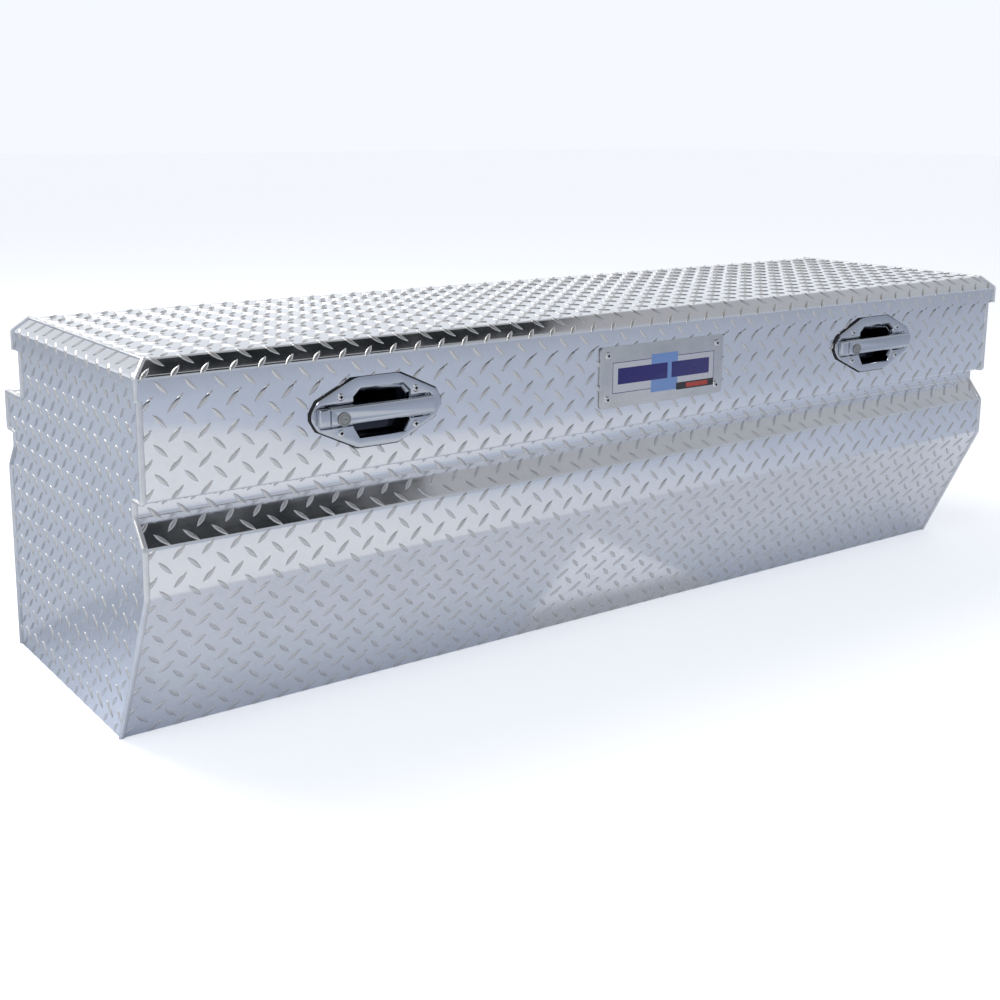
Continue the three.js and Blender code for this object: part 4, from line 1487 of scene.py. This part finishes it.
@dataclass
class GasStrut:
    """One gas strut: a black tube and a bright rod, each with an eye."""

    side: str
    finishes: Finishes
    body_pivot: Span = (180 * MM, 400 * MM)
    lid_pivot: Span = (372 * MM, 455 * MM)
    tube_radius: float = 11 * MM
    tube_length: float = 150 * MM
    rod_radius: float = 5 * MM
    rod_start: float = 75 * MM
    eye_radius: float = 8 * MM
    eye_half_width: float = 4 * MM
    bore_radius: float = 4.3 * MM
    bore_reach: float = 0.02

    def __post_init__(self) -> None:
        """Reads where the strut stands."""
        low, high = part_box(f"strut_tube_{self.side}")
        self.x = (low.x + high.x) / 2
        self.start = Vector((self.x, FRONT + self.body_pivot[0], self.body_pivot[1]))
        self.end = Vector((self.x, FRONT + self.lid_pivot[0], self.lid_pivot[1]))

    def add_eye(self, piece: Piece, middle: Vector) -> None:
        """Joins an eye to the end of a strut piece and bores it."""
        centre, half = (middle.y, middle.z), self.eye_half_width
        ring = ring_outline(self.eye_radius, 36, centre)
        combine(piece, prism("eye", ring, Across.X, self.x - half, self.x + half), Operation.JOIN)
        ring, reach = ring_outline(self.bore_radius, 32, centre), self.bore_reach
        combine(piece, prism("bore", ring, Across.X, self.x - reach, self.x + reach), Operation.CUT)

    def build(self) -> None:
        """Makes the tube and the rod."""
        axis = self.end - self.start
        neck, radius, bore = self.eye_radius - 2 * MM, self.tube_radius, self.rod_radius + 0.3 * MM
        crimp = self.tube_length - 10 * MM
        profile = [(0, neck), (5 * MM, neck), (5 * MM, neck + 3 * MM), (radius - MM, neck + 4 * MM),
                   (radius, neck + 5 * MM), (radius, crimp), (radius - 1.2 * MM, crimp + MM),
                   (radius - 1.2 * MM, crimp + 2.5 * MM), (radius, crimp + 3.5 * MM),
                   (radius, self.tube_length - MM), (radius - MM, self.tube_length),
                   (bore, self.tube_length), (bore, neck + 8 * MM), (0, neck + 8 * MM)]
        tube = turned(f"gas_strut_tube_{self.side}", profile, self.start, axis, 48)
        self.add_eye(tube, self.start)
        ease(tube, 0.3 * MM, 2, STRUT_SMOOTH)
        body = f"tube_{self.side}"
        replaced = (f"strut_tube_{self.side}",)
        Dressing(self.finishes.paint, "black_paint", body, replaced, STRUT_SMOOTH).put_on(tube)
        stop = axis.length - neck
        radius, start, collar = self.rod_radius, self.rod_start, self.rod_radius + 1.2 * MM
        shaft = [(0, start), (radius - MM, start), (radius, start + MM), (radius, stop - 14 * MM),
                 (collar, stop - 13 * MM), (collar, stop - 3 * MM), (radius, stop), (0, stop)]
        rod = turned(f"gas_strut_rod_{self.side}", shaft, self.start, axis, 40)
        self.add_eye(rod, self.end)
        ease(rod, 0.3 * MM, 2, STRUT_SMOOTH)
        body = f"rod_{self.side}"
        replaced = (f"strut_rod_{self.side}",)
        Dressing(self.finishes.chrome, "chrome", body, replaced, STRUT_SMOOTH).put_on(rod)


@dataclass
class EasedPart:
    """A plain piece whose shape is the CAD node's own, with its edges rounded."""

    node: str
    name: str
    material: Material
    slot: str
    width: float = 0.4 * MM
    segments: int = 2

    def build(self) -> Piece:
        """Copies the node's mesh, merges it and rounds its edges."""
        source = frame["nodes"][self.node]
        body = source["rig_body"]
        piece = bpy.data.objects.new(self.name, source.data.copy())
        bpy.context.scene.collection.objects.link(piece)
        with editing(piece, "SELECT"):
            bpy.ops.mesh.remove_doubles(threshold=CLOSE)
        ease(piece, self.width, self.segments, 35)
        return Dressing(self.material, self.slot, body, (self.node,)).put_on(piece)


def build_hardware(finishes: Finishes) -> None:
    """Makes the pieces that keep their CAD shape.

    Args:
        finishes: The materials.
    """
    plain, zinc, rubber = finishes.plain, finishes.zinc, finishes.rubber
    EasedPart("opening_rim", "turned_in_rim", plain, "plain_aluminium", 0.6 * MM).build()
    EasedPart("lid_seal", "bulb_seal", rubber, "black_rubber", 3.6 * MM, 4).build()
    EasedPart("hinge_leaf_body", "piano_hinge_body_leaf", plain, "plain_aluminium", 0.3 * MM).build()
    EasedPart("hinge_leaf_lid", "piano_hinge_lid_leaf", plain, "plain_aluminium", 0.3 * MM).build()
    EasedPart("hinge_pin", "piano_hinge_pin", zinc, "zinc_steel", 0.3 * MM).build()
    for number in range(1, 4):
        EasedPart(f"lid_stiffener_{number}", f"hat_stiffener_{number}", plain, "plain_aluminium",
                  0.9 * MM).build()
    for side in SIDES:
        EasedPart(f"handle_gasket_{side}", f"bezel_gasket_{side}", rubber, "black_rubber",
                  0.4 * MM).build()
        for node in ("strut_bracket_body", "strut_bracket_lid", "latch_housing", "latch_bolt",
                     "latch_striker", "lock_cam", "handle_pivot_pin"):
            EasedPart(f"{node}_{side}", f"plated_{node}_{side}", zinc, "zinc_steel", 0.35 * MM).build()


# ---- Studio ---------------------------------------------------------------------------------


@dataclass
class Studio:
    """Pale floor with painted pools of light and painted shade that only the metal sees, soft light, two
    dark cards overhead and the camera.
    """

    camera_place: Triple = (-1.3315, -1.6452, 0.7363)
    heading: float = 35.4
    downward: float = 10.93
    roll: float = 0.28
    lens: float = 49.37
    shift: Span = (0.0293, -0.1117)
    horizon: Colour = (0.92, 0.95, 1.0, 1)
    near_wall: Colour = (0.5, 0.54, 0.6, 1)
    zenith: Colour = (0.42, 0.42, 0.43, 1)
    floor_pale: Colour = (0.86, 0.87, 0.89, 1)
    floor_grey: Colour = (0.7, 0.76, 0.88, 1)
    # the colour of the painted pools of light
    painted_light_pool: Colour = (0.97, 0.98, 1.0, 1)
    floor_glow: float = 0.5
    beside_share: float = 0.68
    # the strength of the painted glow on the lit patches
    haze: float = 0.2
    pool_far: float = -1.5
    pool_slope: float = 0.4
    pool_sides: Span = (0.0, 1.3)
    pool_near: Span = (-0.5, -0.3)
    # the colour of the painted shade at the tent's foot
    floor_shade: Colour = (0.72, 0.74, 0.75, 1)
    floor_behind: Colour = (0.37, 0.41, 0.48, 1)
    tent_x: float = 0.03
    tent_tip: float = -0.27
    tent_slope: float = 1.5
    tent_foot: Span = (-0.17, -0.15)
    tent_edge: Span = (-0.02, 0.01)
    tent_light: float = 1.15
    beside_near: Span = (-0.6, -0.35)
    beside_left: Span = (-0.82, -0.7)
    beside_box: Span = (-0.22, -0.13)
    beside_left_over: float = 0.45
    behind: Span = (-0.05, 0.25)
    pool_blur: Span = (-0.02, 0.03)
    unevenness: float = 0.5
    floor_roughness: float = 0.8
    card_colour: Colour = (0.01, 0.013, 0.012, 1)
    card_roughness: float = 0.9
    wall_turn: Span = (-0.35, 0.15)  # where the near wall gives way to the horizon
    sky_rise: Span = (0.12, 0.75)
    aim: Triple = (0, 0, 0.2)
    cards: tuple[tuple[str, Triple, Triple], ...] = (
        ("dark_card_high", (0.1, -1.2, 3.0), (1.9, -0.2, 3.02)),
        ("dark_card_low", (-0.7, -1.5, 1.3), (0.373, -0.85, 1.32)))
    lights: tuple[tuple[str, Triple, float, float], ...] = (
        ("key_light", (-2.6, -1.6, 3.6), 1.4, 22), ("top_light", (-1.2, 1.8, 3.4), 2.2, 70))

    def plain_surface(self, name: str, colour: Colour, roughness: float) -> Material:
        """A simple surface for a card."""
        material = bpy.data.materials.new(name)
        material.use_nodes = True
        shader = material.node_tree.nodes["Principled BSDF"]
        shader.inputs["Base Color"].default_value = colour
        shader.inputs["Roughness"].default_value = roughness
        return material

    def floor_surface(self) -> Material:
        """The floor: pale to the eye; to the metal above, a greyer floor with painted pools of light, a
        painted tent of light, painted shade at the tent's foot, darker behind the box, and a painted glow
        on the lit patches.
        """
        material, nodes = new_material("pale_floor_with_painted_light")
        place = nodes.place()
        axes = nodes.add("ShaderNodeSeparateXYZ", {0: place})
        along, across = axes.outputs["X"], axes.outputs["Y"]
        uneven = nodes.math("MULTIPLY_ADD", nodes.noise(place, 1.3), self.unevenness,
                            -self.unevenness / 2)
        sloped = nodes.math("MULTIPLY_ADD", along, -self.pool_slope, across)
        far_side = nodes.math("ADD", sloped, uneven)
        blur = [self.pool_far + reach for reach in self.pool_blur]
        far_edge = nodes.between(far_side, blur, (0, 1))
        right_edge = nodes.between(nodes.math("ADD", along, uneven), self.pool_sides, (1, 0))
        near_edge = nodes.between(across, self.pool_near, (1, 0))
        # painted pool of light on the floor, seen only by the metal
        pool = nodes.math("MULTIPLY", nodes.math("MULTIPLY", far_edge, right_edge), near_edge)
        aside = nodes.math("ABSOLUTE", nodes.math("SUBTRACT", along, self.tent_x))
        half_tent = nodes.math("SUBTRACT", across, self.tent_tip)
        half_tent = nodes.math("MULTIPLY", half_tent, self.tent_slope)
        beyond = nodes.math("SUBTRACT", aside, half_tent)
        # painted tent of light, with painted shade at its foot
        tent = nodes.between(beyond, self.tent_edge, (self.tent_light, 0))
        foot = nodes.math("MULTIPLY", tent, nodes.between(across, self.tent_foot, (0, 1)))
        beside = nodes.math("MULTIPLY", nodes.between(across, self.beside_near, (0, self.beside_share)),
                            nodes.between(along, self.beside_left, (0, 1)))
        fading = nodes.between(across, self.beside_box, (1, self.beside_left_over))
        beside = nodes.math("MULTIPLY", beside, fading)
        lit = nodes.math("MAXIMUM", nodes.math("MAXIMUM", pool, beside), tent)
        # the painted light and shade that the metal mirrors; the camera sees the plain pale floor
        seen = nodes.mix(lit, self.floor_grey, self.painted_light_pool)
        seen = nodes.mix(foot, seen, self.floor_shade)
        seen = nodes.mix(nodes.between(across, self.behind, (0, 1)), seen, self.floor_behind)
        # painted glow: emission on the lit patches, seen only by the metal
        lightened = nodes.math("MULTIPLY", nodes.math("SUBTRACT", 1.0, foot), beside)
        haze = nodes.math("MULTIPLY", nodes.math("MULTIPLY_ADD", tent, 0.5, lightened), self.haze)
        looking = nodes.add("ShaderNodeLightPath").outputs["Is Camera Ray"]
        haze = nodes.math("MULTIPLY", haze, nodes.math("SUBTRACT", 1.0, looking))
        shader = nodes.add("ShaderNodeBsdfPrincipled", {
            "Base Color": nodes.mix(looking, seen, self.floor_pale),
            "Roughness": self.floor_roughness, "Emission Color": self.horizon,
            "Emission Strength": nodes.math("MULTIPLY_ADD", looking, self.floor_glow, haze)})
        nodes.add("ShaderNodeOutputMaterial", {"Surface": shader.outputs[0]})
        return material

    def build_floor(self) -> None:
        """Lays the floor."""
        deselect()
        bpy.ops.mesh.primitive_plane_add(size=60, location=(0, 0, 0))
        floor = named("studio_floor")
        floor.data.materials.append(self.floor_surface())

    def build_cards(self) -> None:
        """Hangs the dark cards that the sloped faces mirror."""
        surface = self.plain_surface("dark_card", self.card_colour, self.card_roughness)
        for name, low, high in self.cards:
            card = box(name, Vector(low), Vector(high))
            card.data.materials.append(surface)
            card.visible_camera = card.visible_diffuse = card.visible_shadow = False

    def build_room(self) -> None:
        """Sets the surroundings: bright round the horizon and dimmer overhead."""
        world = bpy.data.worlds.new("pale_room")
        world.use_nodes = True
        nodes = Nodes(world.node_tree)
        direction = nodes.add("ShaderNodeTexCoord").outputs["Generated"]
        height = nodes.add("ShaderNodeSeparateXYZ", {0: direction}).outputs["Z"]
        forward = nodes.add("ShaderNodeSeparateXYZ", {0: direction}).outputs["Y"]
        low_sky = nodes.mix(nodes.between(forward, self.wall_turn, (0, 1)), self.near_wall, self.horizon)
        share = nodes.between(height, self.sky_rise, (0, 1))
        colour = nodes.mix(share, low_sky, self.zenith)
        background = nodes.add("ShaderNodeBackground", {"Color": colour, "Strength": 1.0})
        nodes.add("ShaderNodeOutputWorld", {"Surface": background.outputs[0]})
        bpy.context.scene.world = world

    def build_light(self) -> None:
        """Hangs the soft lights."""
        for name, place, size, power in self.lights:
            light = bpy.data.lights.new(name, "AREA")
            light.size, light.energy = size, power
            lamp = bpy.data.objects.new(name, light)
            bpy.context.scene.collection.objects.link(lamp)
            lamp.location = place
            ahead = Vector(self.aim) - Vector(place)
            lamp.rotation_euler = ahead.to_track_quat("-Z", "Y").to_euler()
            lamp.visible_camera = False

    def build_camera(self) -> None:
        """Sets the camera."""
        angles = (self.heading, self.downward, self.roll)
        heading, downward, roll = (math.radians(angle) for angle in angles)
        ahead = Vector((math.sin(heading) * math.cos(downward),
                        math.cos(heading) * math.cos(downward), -math.sin(downward)))
        right = Vector((math.cos(heading), -math.sin(heading), 0))
        up = right.cross(ahead)
        right, up = (right * math.cos(roll) + up * math.sin(roll),
                     up * math.cos(roll) - right * math.sin(roll))
        data = bpy.data.cameras.new("camera")
        data.lens, data.shift_x, data.shift_y = self.lens, *self.shift
        camera = bpy.data.objects.new("camera", data)
        bpy.context.scene.collection.objects.link(camera)
        turn = Matrix((right, up, -ahead)).transposed()
        camera.matrix_world = Matrix.Translation(self.camera_place) @ turn.to_4x4()
        bpy.context.scene.camera = camera

    def build(self) -> None:
        """Sets up the studio."""
        self.build_floor()
        self.build_cards()
        self.build_room()
        self.build_light()
        self.build_camera()
        bpy.context.scene.view_settings.view_transform = "Standard"


def main() -> None:
    """Builds the tool box and its studio."""
    logging.basicConfig(level=logging.INFO, format="%(message)s")
    finishes = Finishes()
    Studio().build()
    Body(finishes).build()
    Lid(finishes).build()
    for side in SIDES:
        Handle(side, finishes).build()
        GasStrut(side, finishes).build()
    Nameplate(finishes).build()
    build_hardware(finishes)


if __name__ == "__main__":
    main()
